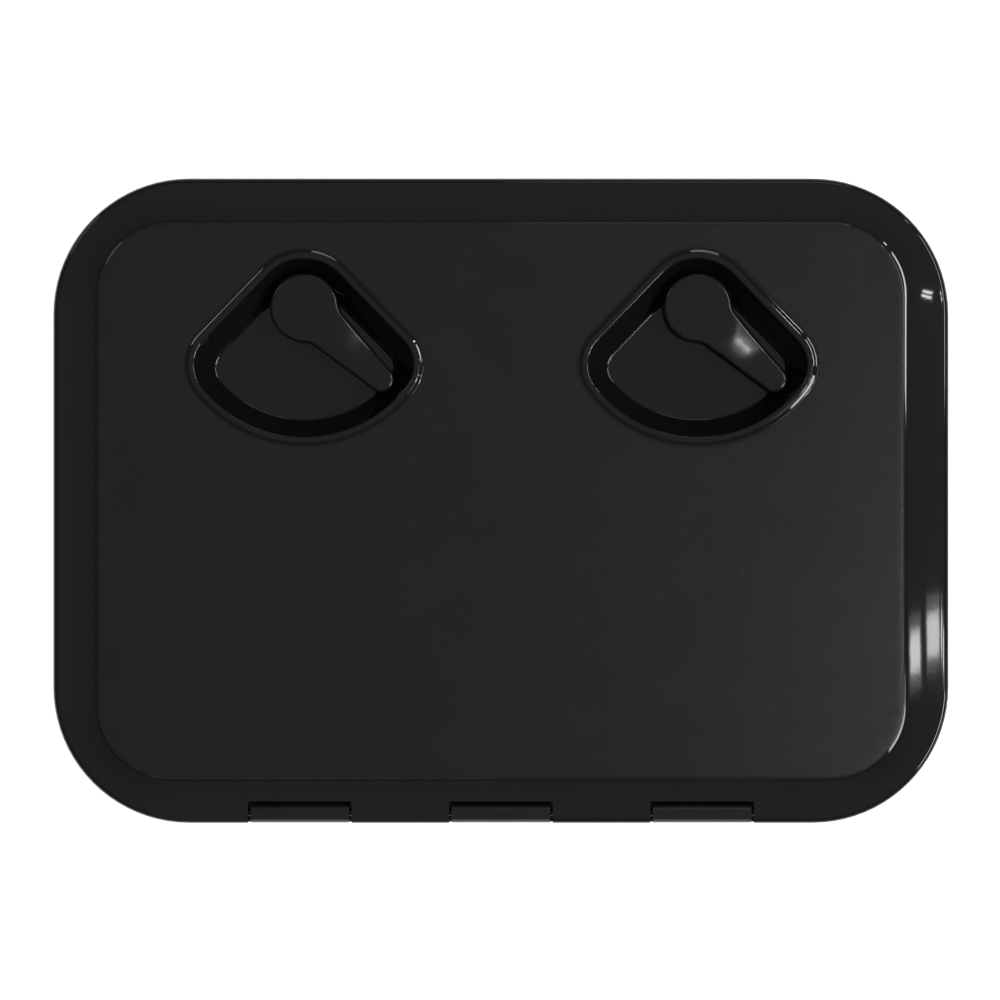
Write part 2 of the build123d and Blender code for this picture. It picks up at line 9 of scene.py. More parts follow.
import bmesh
import bpy
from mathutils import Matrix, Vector


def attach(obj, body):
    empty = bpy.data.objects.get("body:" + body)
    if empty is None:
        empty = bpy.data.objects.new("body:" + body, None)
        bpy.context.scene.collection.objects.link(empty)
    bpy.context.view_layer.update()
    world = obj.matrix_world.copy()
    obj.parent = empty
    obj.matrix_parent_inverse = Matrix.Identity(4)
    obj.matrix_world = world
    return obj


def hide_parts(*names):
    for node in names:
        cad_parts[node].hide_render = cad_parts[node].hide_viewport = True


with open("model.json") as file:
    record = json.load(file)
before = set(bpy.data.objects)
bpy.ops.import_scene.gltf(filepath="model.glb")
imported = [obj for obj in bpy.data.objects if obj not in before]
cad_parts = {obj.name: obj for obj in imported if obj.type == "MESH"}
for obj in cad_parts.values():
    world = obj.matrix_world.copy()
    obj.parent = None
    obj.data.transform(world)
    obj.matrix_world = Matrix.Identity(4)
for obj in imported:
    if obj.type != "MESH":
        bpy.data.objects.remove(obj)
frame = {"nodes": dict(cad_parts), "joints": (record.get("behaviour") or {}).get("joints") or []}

log = logging.getLogger("deck_hatch")

MM = 0.001
SMOOTH_ANGLE = math.radians(32.0)
ROD_SPANS = 32
SIDE_SPANS = 12
CORNER_SPANS = 16
ARC_SPANS = 24
BEVEL_SAMPLES = 4
EDGE_BAND = (0.005, 0.12)

Point = tuple[float, float]
Colour = tuple[float, float, float]
Band = tuple[float, float]
Ring = list[bmesh.types.BMVert]
Height = Union[float, Callable[[Point], float]]


class Cut(Enum):
    """How one closed form acts on another."""

    JOIN = "UNION"
    TAKE_AWAY = "DIFFERENCE"


class Side(Enum):
    """The two latches, by the sign of their X."""

    LEFT = -1
    RIGHT = 1

    @property
    def label(self) -> str:
        """Name used in the node names."""
        return self.name.lower()


# ---------------------------------------------------------------- outlines
def arc(centre: Point, radius: float, start: float, stop: float, steps: int) -> list[Point]:
    """Points along a circular arc.

    Args:
        centre: Centre of the arc.
        radius: Radius of the arc.
        start: First angle, in degrees.
        stop: Last angle, in degrees.
        steps: Number of spans.

    Returns:
        steps + 1 points from start to stop.
    """
    turns = [math.radians(start + (stop - start) * i / steps) for i in range(steps + 1)]
    return [(centre[0] + radius * math.cos(a), centre[1] + radius * math.sin(a)) for a in turns]


def circle(radius: float, steps: int = 64) -> list[Point]:
    """A closed circle about the origin, without its first point repeated."""
    return arc((0.0, 0.0), radius, 0.0, 360.0, steps)[:-1]


def rounded_rect(half_x: float, half_y: float, corner: float, steps: int = 20) -> list[Point]:
    """A rounded rectangle about the origin.

    Args:
        half_x: Half of the length along X.
        half_y: Half of the width along Y.
        corner: Corner radius.
        steps: Spans in each corner.

    Returns:
        Points anticlockwise, always 4 * (steps + 1) of them.
    """
    points: list[Point] = []
    for quarter, (sign_x, sign_y) in enumerate(((1, 1), (-1, 1), (-1, -1), (1, -1))):
        centre = (sign_x * (half_x - corner), sign_y * (half_y - corner))
        points += arc(centre, corner, 90.0 * quarter, 90.0 * (quarter + 1), steps)
    return points


def between(first: Sequence[Point], second: Sequence[Point], share: float) -> list[Point]:
    """Outline part of the way from one outline to another.

    Args:
        first: The outline at share 0.
        second: The outline at share 1, with as many points.
        share: How far along the way.

    Returns:
        The outline between them.
    """
    return [(a[0] + (b[0] - a[0]) * share, a[1] + (b[1] - a[1]) * share) for a, b in zip(first, second)]


def moved(outline: Sequence[Point], centre: Point, turn: float = 0.0) -> list[Point]:
    """Turns an outline and then moves it.

    Args:
        outline: Points about the origin.
        centre: Where the origin goes.
        turn: Angle in degrees.

    Returns:
        The moved points.
    """
    cos_turn, sin_turn = math.cos(math.radians(turn)), math.sin(math.radians(turn))
    turned = [(x * cos_turn - y * sin_turn, x * sin_turn + y * cos_turn) for x, y in outline]
    return [(centre[0] + x, centre[1] + y) for x, y in turned]


def ease(value: float, low: float, high: float) -> float:
    """Smooth step.

    Args:
        value: Where it is read.
        low: Where it leaves 0.
        high: Where it reaches 1.

    Returns:
        A share from 0 to 1.
    """
    share = min(max((value - low) / (high - low), 0.0), 1.0)
    return share * share * (3.0 - 2.0 * share)


def swell(share: float) -> float:
    """Steeper smooth step of a share, level at both ends."""
    return share**3 * (10.0 - 15.0 * share + 6.0 * share**2)


# ---------------------------------------------------------------- mesh building
class Skin:
    """A closed skin gathered ring by ring, in millimetres, and turned into a mesh object in metres."""

    def __init__(self) -> None:
        """Starts with an empty form."""
        self.form = bmesh.new()

    def ring(self, outline: Sequence[Point], height: Height) -> Ring:
        """Lays one closed ring of points.

        Args:
            outline: Points of the ring.
            height: One height, or a function of the point that gives it.

        Returns:
            The new vertices in order.
        """
        lift = height if callable(height) else (lambda point: height)
        return [self.form.verts.new((p[0] * MM, p[1] * MM, lift(p) * MM)) for p in outline]

    def bridge(self, first: Ring, second: Ring, finish: int = 0) -> None:
        """Joins two rings of equal length with a band of quads.

        Args:
            first: One ring.
            second: The other ring.
            finish: Material slot of the band.
        """
        count = len(first)
        for i in range(count):
            after = (i + 1) % count
            face = self.form.faces.new((first[i], first[after], second[after], second[i]))
            face.material_index = finish

    def stack(self, rings: Sequence[Ring], finish: int = 0) -> Ring:
        """Joins rings one after another.

        Args:
            rings: The rings in order.
            finish: Material slot of the bands.

        Returns:
            The last ring.
        """
        for first, second in zip(rings, rings[1:]):
            self.bridge(first, second, finish)
        return rings[-1]

    def cap(self, loops: Sequence[Ring], finish: int = 0) -> list[bmesh.types.BMFace]:
        """Fills the area between an outer loop and any loops inside it.

        Args:
            loops: The outer loop and the holes.
            finish: Material slot of the area.

        Returns:
            The new faces.
        """
        edges = []
        for loop in loops:
            for i, vert in enumerate(loop):
                pair = (vert, loop[(i + 1) % len(loop)])
                edges.append(self.form.edges.get(pair) or self.form.edges.new(pair))
        made = bmesh.ops.triangle_fill(self.form, use_beauty=True, edges=edges, normal=(0.0, 0.0, 1.0))
        faces = [item for item in made["geom"] if isinstance(item, bmesh.types.BMFace)]
        for face in faces:
            face.material_index = finish
        return faces

    def finished(self, name: str) -> bpy.types.Object:
        """Makes the mesh object, with its faces outward.

        Args:
            name: Name of the object.

        Returns:
            The object, linked to the scene.
        """
        bmesh.ops.recalc_face_normals(self.form, faces=self.form.faces)
        mesh = bpy.data.meshes.new(name)
        self.form.to_mesh(mesh)
        self.form.free()
        piece = bpy.data.objects.new(name, mesh)
        bpy.context.scene.collection.objects.link(piece)
        return piece


def block(name: str, low: Sequence[float], high: Sequence[float]) -> bpy.types.Object:
    """A square-edged block used to cut or join, given by two corners in millimetres.

    Args:
        name: Name of the block.
        low: Lowest corner.
        high: Highest corner.

    Returns:
        The block.
    """
    skin = Skin()
    outline = [(low[0], low[1]), (high[0], low[1]), (high[0], high[1]), (low[0], high[1])]
    bottom, top = skin.ring(outline, low[2]), skin.ring(outline, high[2])
    skin.bridge(bottom, top)
    skin.cap([bottom])
    skin.cap([top])
    return skin.finished(name)


def cross_rod(name: str, radius: float, half_length: float, centre: Sequence[float]) -> bpy.types.Object:
    """A round rod along X, used to cut a hole, given in millimetres.

    Args:
        name: Name of the rod.
        radius: Its radius.
        half_length: Half of its length.
        centre: Its middle.

    Returns:
        The rod.
    """
    skin = Skin()
    ends = [skin.ring(circle(radius, ROD_SPANS), z) for z in (-half_length, half_length)]
    skin.bridge(*ends)
    skin.cap([ends[0]])
    skin.cap([ends[1]])
    for vert in skin.form.verts:
        across, up, along = vert.co
        vert.co = Vector((along + centre[0] * MM, across + centre[1] * MM, up + centre[2] * MM))
    return skin.finished(name)


def settle(piece: bpy.types.Object) -> None:
    """Takes a piece's modifiers into its mesh and removes them.

    Args:
        piece: The piece that changes.
    """
    graph = bpy.context.evaluated_depsgraph_get()
    mesh = bpy.data.meshes.new_from_object(piece.evaluated_get(graph))
    piece.modifiers.clear()
    piece.data = mesh


def apply_cut(piece: bpy.types.Object, tool: bpy.types.Object, cut: Cut) -> None:
    """Joins a closed form to a piece, or takes it away, and drops the form.

    Args:
        piece: The piece that changes.
        tool: The closed form, removed afterwards.
        cut: What is done.
    """
    change = piece.modifiers.new("cut", "BOOLEAN")
    change.operation = cut.value
    change.solver = "MANIFOLD"
    change.object = tool
    settle(piece)
    bpy.data.objects.remove(tool)


def soften(piece: bpy.types.Object) -> None:
    """Shades a piece smooth, with edges sharper than the limit kept crisp.

    Args:
        piece: The piece that changes.
    """
    form = bmesh.new()
    form.from_mesh(piece.data)
    for face in form.faces:
        face.smooth = True
    for edge in form.edges:
        edge.smooth = edge.calc_face_angle(0.0) < SMOOTH_ANGLE
    form.to_mesh(piece.data)
    form.free()


def dress(piece: bpy.types.Object, *materials: bpy.types.Material) -> None:
    """Puts materials in a piece's slots and leaves each face on its own slot.

    Args:
        piece: The piece that changes.
        materials: Its finishes in the order of the slots.
    """
    slots = piece.data.materials
    for index, material in enumerate(materials):
        if index < len(slots):
            slots[index] = material
        else:
            slots.append(material)


def keep(piece: bpy.types.Object, body: str, slot: str, *nodes: str) -> None:
    """Gives a finished piece to its body, hides the nodes it stands for and logs its size.

    Args:
        piece: The finished piece.
        body: Body it moves with.
        slot: Not used.
        nodes: Nodes it stands for.
    """
    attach(piece, body)
    if nodes:
        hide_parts(*nodes)
    low, high = (Vector(c) / MM for c in (piece.bound_box[0], piece.bound_box[6]))
    faces = len(piece.data.polygons)
    second = sum(face.material_index > 0 for face in piece.data.polygons)
    log.info("%s on %s: %d faces, %d in a second finish", piece.name, body, faces, second)
    log.info("%s is %.1f x %.1f x %.1f mm", piece.name, *(high - low))


# ---------------------------------------------------------------- shader building
@dataclass(frozen=True)
class Wire:
    """A value in a shader, with Python's operators making the nodes between values."""

    graph: "Graph"
    socket: bpy.types.NodeSocket

    def maths(self, operation: str, *values: "Wire | float") -> "Wire":
        """Runs one maths operation.

        Args:
            operation: Its name.
            values: Its inputs in order.

        Returns:
            The result.
        """
        return self.graph.wire("ShaderNodeMath", {"operation": operation}, dict(enumerate(values)))

    def __add__(self, other: "Wire | float") -> "Wire":
        """This value plus another."""
        return self.maths("ADD", self, other)

    def __radd__(self, other: float) -> "Wire":
        """A number plus this value."""
        return self.maths("ADD", other, self)

    def __sub__(self, other: "Wire | float") -> "Wire":
        """This value less another."""
        return self.maths("SUBTRACT", self, other)

    def __rsub__(self, other: float) -> "Wire":
        """A number less this value."""
        return self.maths("SUBTRACT", other, self)

    def __mul__(self, other: "Wire | float") -> "Wire":
        """This value times another."""
        return self.maths("MULTIPLY", self, other)

    def __rmul__(self, other: float) -> "Wire":
        """A number times this value."""
        return self.maths("MULTIPLY", other, self)

    def step(self, low: float, high: float) -> "Wire":
        """Smooth step of this value.

        Args:
            low: Where the step leaves 0.
            high: Where the step reaches 1.

        Returns:
            The stepped value.
        """
        inputs = {0: self, 1: low, 2: high, 3: 0.0, 4: 1.0}
        return self.graph.wire("ShaderNodeMapRange", {"interpolation_type": "SMOOTHSTEP"}, inputs)


class Graph:
    """One material's shader, built from typed nodes."""

    def __init__(self, name: str) -> None:
        """Starts an empty shader with its output.

        Args:
            name: Name of the material.
        """
        self.material = bpy.data.materials.new(name)
        self.material.use_nodes = True
        self.tree = self.material.node_tree
        self.tree.nodes.clear()
        self.end = self.tree.nodes.new("ShaderNodeOutputMaterial")

    def node(self, kind: str, settings: dict, inputs: dict) -> bpy.types.Node:
        """Adds a node.

        Args:
            kind: Type of the node.
            settings: Properties, set before the sockets.
            inputs: Values or wires by socket name or number.

        Returns:
            The node.
        """
        node = self.tree.nodes.new(kind)
        for key, value in settings.items():
            setattr(node, key, value)
        for key, value in inputs.items():
            if isinstance(value, Wire):
                self.tree.links.new(value.socket, node.inputs[key])
            else:
                node.inputs[key].default_value = value
        return node

    def wire(self, kind: str, settings: dict, inputs: dict, output: Union[str, int] = 0) -> Wire:
        """Adds a node and gives one of its outputs."""
        return Wire(self, self.node(kind, settings, inputs).outputs[output])

    def place(self, stretch: tuple[float, float, float] = (1.0, 1.0, 1.0)) -> Wire:
        """Object coordinates, stretched along the axes."""
        spot = self.wire("ShaderNodeTexCoord", {}, {}, "Object")
        return self.wire("ShaderNodeMapping", {}, {"Vector": spot, "Scale": stretch})

    def noise(self, place: Wire, size_mm: float, detail: float = 2.0, rough: float = 0.5) -> Wire:
        """Noise whose features are about a given size.

        Args:
            place: Coordinates.
            size_mm: Size of its features in millimetres.
            detail: Octaves.
            rough: Weight of the finer octaves.

        Returns:
            A value about 0.5.
        """
        scale = 1.0 / (size_mm * MM)
        inputs = {"Vector": place, "Scale": scale, "Detail": detail, "Roughness": rough}
        return self.wire("ShaderNodeTexNoise", {}, inputs, "Fac")

    def pebbles(self, place: Wire, size_mm: float) -> Wire:
        """Distance to the nearest of many scattered points, for grain."""
        inputs = {"Vector": place, "Scale": 1.0 / (size_mm * MM), "Randomness": 1.0}
        return self.wire("ShaderNodeTexVoronoi", {"feature": "F1"}, inputs, "Distance")

    def edges(self, reach_mm: float) -> Wire:
        """Finds the edges.

        Args:
            reach_mm: How far from an edge it still counts, in millimetres.

        Returns:
            0 on open surfaces, and more along edges.
        """
        bent = self.wire("ShaderNodeBevel", {"samples": BEVEL_SAMPLES}, {"Radius": reach_mm * MM})
        flat = self.wire("ShaderNodeNewGeometry", {}, {}, "Normal")
        inputs = {0: bent, 1: flat}
        alike = self.wire("ShaderNodeVectorMath", {"operation": "DOT_PRODUCT"}, inputs, "Value")
        return (1.0 - alike).step(*EDGE_BAND)

    def mix(self, share: Wire, first: Colour, second: "Colour | Wire") -> Wire:
        """Blends two colours.

        Args:
            share: How much of the second.
            first: The first colour.
            second: The second colour.

        Returns:
            The blend.
        """
        second_value = second if isinstance(second, Wire) else (*second, 1.0)
        inputs = {0: share, 6: (*first, 1.0), 7: second_value}
        return self.wire("ShaderNodeMix", {"data_type": "RGBA"}, inputs, 2)

    def bump(self, height: Wire) -> Wire:
        """Surface relief, with its height in millimetres."""
        inputs = {"Height": height, "Distance": MM, "Strength": 1.0}
        return self.wire("ShaderNodeBump", {}, inputs, "Normal")

    def surface(self, fixed: dict, varying: dict) -> bpy.types.Material:
        """Ends the shader in a Principled surface.

        Args:
            fixed: Numbers and colours that are the same all over.
            varying: Wires by socket name.

        Returns:
            The material.
        """
        shader = self.node("ShaderNodeBsdfPrincipled", {}, {**fixed, **varying})
        self.tree.links.new(shader.outputs[0], self.end.inputs[0])
        return self.material


@dataclass(frozen=True)
class MouldedPlastic:
    """Moulded thermoplastic: soft waviness, an optional grain, faint scuffs and rubbed edges."""

    name: str
    tone: Colour
    lighter: Colour
    roughness: float
    spread: float = 0.05
    wave_mm: float = 9.0
    wave_depth: float = 0.006
    grain_mm: float = 0.0
    grain_depth: float = 0.0
    scuff: float = 0.05
    edge_reach: float = 0.5
    edge_share: float = 0.35
    edge_rough: float = 0.06
    cloud_mm: float = 24.0
    cloud_share: float = 0.35
    fine_mm: float = 1.1
    fine_share: float = 0.25
    fine_depth: float = 0.0012
    rub_band: Band = (0.30, 0.62)
    streak_mm: float = 16.0
    streak_stretch: tuple[float, float, float] = (1.0, 14.0, 1.0)
    streak_band: Band = (0.60, 0.74)
    dust_mm: float = 0.35
    dust_band: Band = (0.74, 0.80)
    dust_share: float = 0.3
    pebble_weight: float = 0.7
    pit_weight: float = 0.6
    pit_size: float = 0.6
    grain_band: Band = (0.35, 0.95)
    grain_share: float = 0.18
    ior: float = 1.5

    def make(self) -> bpy.types.Material:
        """Builds the material.

        Returns:
            The finished material.
        """
        graph = Graph(self.name)
        place = graph.place()
        cloud = graph.noise(place, self.cloud_mm, 3.0)
        fine = graph.noise(place, self.fine_mm, 4.0, 0.6)
        streaks = graph.noise(graph.place(self.streak_stretch), self.streak_mm, 3.0, 0.7)
        rubbed = graph.edges(self.edge_reach) * fine.step(*self.rub_band)
        dust = graph.noise(place, self.dust_mm, 1.0).step(*self.dust_band)
        share = cloud * self.cloud_share + fine * self.fine_share
        share = share + rubbed * self.edge_share + dust * self.dust_share
        rough = self.roughness - self.spread / 2 + cloud * self.spread
        rough = rough + streaks.step(*self.streak_band) * self.scuff + rubbed * self.edge_rough
        relief = graph.noise(place, self.wave_mm, 2.0) * self.wave_depth + fine * self.fine_depth
        if self.grain_mm > 0.0:
            pits = graph.noise(place, self.grain_mm * self.pit_size, 2.0)
            grain = graph.pebbles(place, self.grain_mm) * self.pebble_weight + pits * self.pit_weight
            relief = relief + grain * self.grain_depth
            share = share + grain.step(*self.grain_band) * self.grain_share
        fixed = {"IOR": self.ior, "Metallic": 0.0}
        varying = {
            "Base Color": graph.mix(share, self.tone, self.lighter),
            "Roughness": rough,
            "Normal": graph.bump(relief),
        }
        return graph.surface(fixed, varying)


@dataclass(frozen=True)
class Rubber:
    """Soft rubber with a dusty bloom and fine pores."""

    name: str
    tone: Colour
    bloom: Colour
    roughness: float = 0.72
    cloud_mm: float = 14.0
    cloud_rough: float = 0.12
    cloud_depth: float = 0.05
    bloom_band: Band = (0.42, 0.72)
    bloom_share: float = 0.5
    pore_mm: float = 0.5
    pore_rough: float = 0.05
    pore_depth: float = 0.03
    edge_reach: float = 0.6
    edge_share: float = 0.3
    ior: float = 1.45

    def make(self) -> bpy.types.Material:
        """Builds the material.

        Returns:
            The finished material.
        """
        graph = Graph(self.name)
        place = graph.place()
        cloud = graph.noise(place, self.cloud_mm, 4.0, 0.6)
        pores = graph.pebbles(place, self.pore_mm)
        bloom = cloud.step(*self.bloom_band) * self.bloom_share
        share = bloom + graph.edges(self.edge_reach) * self.edge_share
        varying = {
            "Base Color": graph.mix(share, self.tone, self.bloom),
            "Roughness": self.roughness + cloud * self.cloud_rough - pores * self.pore_rough,
            "Normal": graph.bump(pores * self.pore_depth + cloud * self.cloud_depth),
        }
        return graph.surface({"IOR": self.ior}, varying)


@dataclass(frozen=True)
class BrushedSteel:
    """Steel brushed one way, with faint stains."""

    name: str
    tone: Colour
    stain: Colour
    stretch: tuple[float, float, float]
    roughness: float = 0.24
    brush_mm: float = 1.6
    brush_share: float = 0.2
    brush_rough: float = 0.14
    brush_depth: float = 0.02
    cloud_mm: float = 7.0
    cloud_rough: float = 0.06
    stain_band: Band = (0.50, 0.80)
    stain_share: float = 0.5

    def make(self) -> bpy.types.Material:
        """Builds the material.

        Returns:
            The finished material.
        """
        graph = Graph(self.name)
        brush = graph.noise(graph.place(self.stretch), self.brush_mm, 5.0, 0.65)
        cloud = graph.noise(graph.place(), self.cloud_mm, 3.0, 0.6)
        share = cloud.step(*self.stain_band) * self.stain_share + brush * self.brush_share
        varying = {
            "Base Color": graph.mix(share, self.tone, self.stain),
            "Roughness": self.roughness + brush * self.brush_rough + cloud * self.cloud_rough,
            "Normal": graph.bump(brush * self.brush_depth),
        }
        return graph.surface({"Metallic": 1.0}, varying)


@dataclass(frozen=True)
class FloorPaint:
    """Pale studio floor with its own faint glow, so it stays even."""

    name: str
    tone: Colour
    shade: Colour
    glow: float
    roughness: float = 0.6
    spread: float = 0.1
    cloud_mm: float = 120.0

    def make(self) -> bpy.types.Material:
        """Builds the material.

        Returns:
            The finished material.
        """
        graph = Graph(self.name)
        cloud = graph.noise(graph.place(), self.cloud_mm, 2.0)
        varying = {
            "Base Color": graph.mix(cloud, self.tone, self.shade),
            "Roughness": self.roughness + cloud * self.spread,
        }
        fixed = {"Emission Color": (*self.tone, 1.0), "Emission Strength": self.glow}
        return graph.surface(fixed, varying)


BLACK = (0.0050, 0.0050, 0.0053)
WORN_BLACK = (0.013, 0.013, 0.0135)

GLOSS = MouldedPlastic("gloss_moulding", BLACK, WORN_BLACK, 0.04, 0.015, scuff=0.015)
HANDLE = MouldedPlastic("handle_moulding", BLACK, WORN_BLACK, 0.17, 0.03, scuff=0.02)
GRAINED = MouldedPlastic(
    name="grained_panel",
    tone=BLACK,
    lighter=(0.016, 0.016, 0.0165),
    roughness=0.26,
    grain_mm=0.55,
    grain_depth=0.06,
)
FRAME = MouldedPlastic(
    name="frame_moulding",
    tone=(0.0060, 0.0060, 0.0063),
    lighter=(0.018, 0.018, 0.0185),
    roughness=0.30,
    grain_mm=0.9,
    grain_depth=0.008,
)
CAM = MouldedPlastic(
    name="filled_plastic",
    tone=(0.012, 0.012, 0.013),
    lighter=(0.045, 0.045, 0.047),
    roughness=0.48,
    grain_mm=0.7,
    grain_depth=0.012,
    scuff=0.12,
)
NYLON = MouldedPlastic(
    name="natural_nylon",
    tone=(0.62, 0.60, 0.54),
    lighter=(0.78, 0.77, 0.72),
    roughness=0.42,
    edge_share=0.2,
    wave_depth=0.008,
)
RUBBER = Rubber("seal_rubber", (0.010, 0.010, 0.011), (0.030, 0.030, 0.031))
PIN_STEEL = BrushedSteel(
    name="blackened_steel",
    tone=(0.045, 0.044, 0.043),
    stain=(0.020, 0.020, 0.021),
    stretch=(1.0, 18.0, 18.0),
    roughness=0.34,
)
TURNED_STEEL = BrushedSteel(
    name="turned_steel",
    tone=(0.60, 0.60, 0.59),
    stain=(0.46, 0.44, 0.41),
    stretch=(9.0, 9.0, 1.0),
    roughness=0.28,
)
FLOOR = FloorPaint("studio_floor", (0.93, 0.93, 0.93), (0.90, 0.90, 0.90), 0.95)


# ---------------------------------------------------------------- latch recess outline
@dataclass(frozen=True)
class Fan:
    """Outline about a spindle: apex arc, two straight sides, rounded corners and a far arc, in mm."""

    apex: float
    reach: float
    corner: float
    slope: float = 44.0

    def outline(self, margin: float = 0.0) -> list[Point]:
        """Points of the fan, larger all round by a margin.

        Args:
            margin: How much larger, in millimetres.

        Returns:
            Points anticlockwise from the apex's right end, the same number for every fan.
        """
        apex, reach, corner = self.apex + margin, self.reach + margin, self.corner + margin
        slope = math.radians(self.slope)
        normal = Vector((math.cos(slope), math.sin(slope)))
        along = Vector((math.sin(slope), -math.cos(slope)))
        run = math.sqrt((reach - corner) ** 2 - (apex - corner) ** 2)
        centre = normal * (apex - corner) + along * run
        far_angle = math.degrees(math.atan2(centre.y, centre.x))
        side_start, side_end = normal * apex, centre + normal * corner
        side = [tuple(side_start.lerp(side_end, i / SIDE_SPANS)) for i in range(SIDE_SPANS, 0, -1)]
        right = arc((centre.x, centre.y), corner, far_angle, self.slope, CORNER_SPANS)[:-1] + side
        top = arc((0.0, 0.0), apex, self.slope, 180.0 - self.slope, ARC_SPANS)
        left = [(-x, y) for x, y in reversed(right)]
        bottom = arc((0.0, 0.0), reach, -180.0 - far_angle, far_angle, ARC_SPANS)[1:-1]
        return right + top + left + bottom


@dataclass
class RibRow:
    """A row of equal bars made by a node tree with named inputs."""

    count: int
    pitch: float
    length: float
    thickness: float
    bottom: float
    top: float
    offset: float = 0.0
    across: bool = False

    def tree(self, material: bpy.types.Material) -> bpy.types.NodeTree:
        """Builds the tree: a line of points, a bar on each, made real and given its finish.

        Args:
            material: Finish of the bars.

        Returns:
            The node tree.
        """
        tree = bpy.data.node_groups.new("rib_row", "GeometryNodeTree")
        tree.interface.new_socket("Count", in_out="INPUT", socket_type="NodeSocketInt")
        tree.interface.new_socket("Pitch", in_out="INPUT", socket_type="NodeSocketVector")
        tree.interface.new_socket("First", in_out="INPUT", socket_type="NodeSocketVector")
        tree.interface.new_socket("Bar Size", in_out="INPUT", socket_type="NodeSocketVector")
        tree.interface.new_socket("Geometry", in_out="OUTPUT", socket_type="NodeSocketGeometry")
        nodes, links = tree.nodes, tree.links
        start, end = nodes.new("NodeGroupInput"), nodes.new("NodeGroupOutput")
        line, bar = nodes.new("GeometryNodeMeshLine"), nodes.new("GeometryNodeMeshCube")
        spread = nodes.new("GeometryNodeInstanceOnPoints")
        real = nodes.new("GeometryNodeRealizeInstances")
        paint = nodes.new("GeometryNodeSetMaterial")
        paint.inputs["Material"].default_value = material
        links.new(start.outputs["Count"], line.inputs["Count"])
        links.new(start.outputs["First"], line.inputs["Start Location"])
        links.new(start.outputs["Pitch"], line.inputs["Offset"])
        links.new(start.outputs["Bar Size"], bar.inputs["Size"])
        links.new(line.outputs["Mesh"], spread.inputs["Points"])
        links.new(bar.outputs["Mesh"], spread.inputs["Instance"])
        links.new(spread.outputs["Instances"], real.inputs["Geometry"])
        links.new(real.outputs["Geometry"], paint.inputs["Geometry"])
        links.new(paint.outputs["Geometry"], end.inputs["Geometry"])
        return tree

    def build(self, material: bpy.types.Material) -> bpy.types.Object:
        """Makes the row as one plain mesh.

        Args:
            material: Finish of the bars.

        Returns:
            The bars, in one object.
        """
        middle = (self.bottom + self.top) / 2
        first = self.offset - self.pitch * (self.count - 1) / 2
        size = Vector((self.length, self.thickness, self.top - self.bottom))
        start, pitch = Vector((0.0, first, middle)), Vector((0.0, self.pitch, 0.0))
        if not self.across:
            size, start, pitch = size.yxz, start.yxz, pitch.yxz
        piece = bpy.data.objects.new("rib_row", bpy.data.meshes.new("rib_row"))
        bpy.context.scene.collection.objects.link(piece)
        change = piece.modifiers.new("rib_row", "NODES")
        change.node_group = self.tree(material)
        sizes = {"Pitch": pitch * MM, "First": start * MM, "Bar Size": size * MM}
        values = {"Count": self.count, **{name: tuple(size) for name, size in sizes.items()}}
        for item in change.node_group.interface.items_tree:
            if item.name in values:
                change[item.identifier] = values[item.name]
        settle(piece)
        return piece


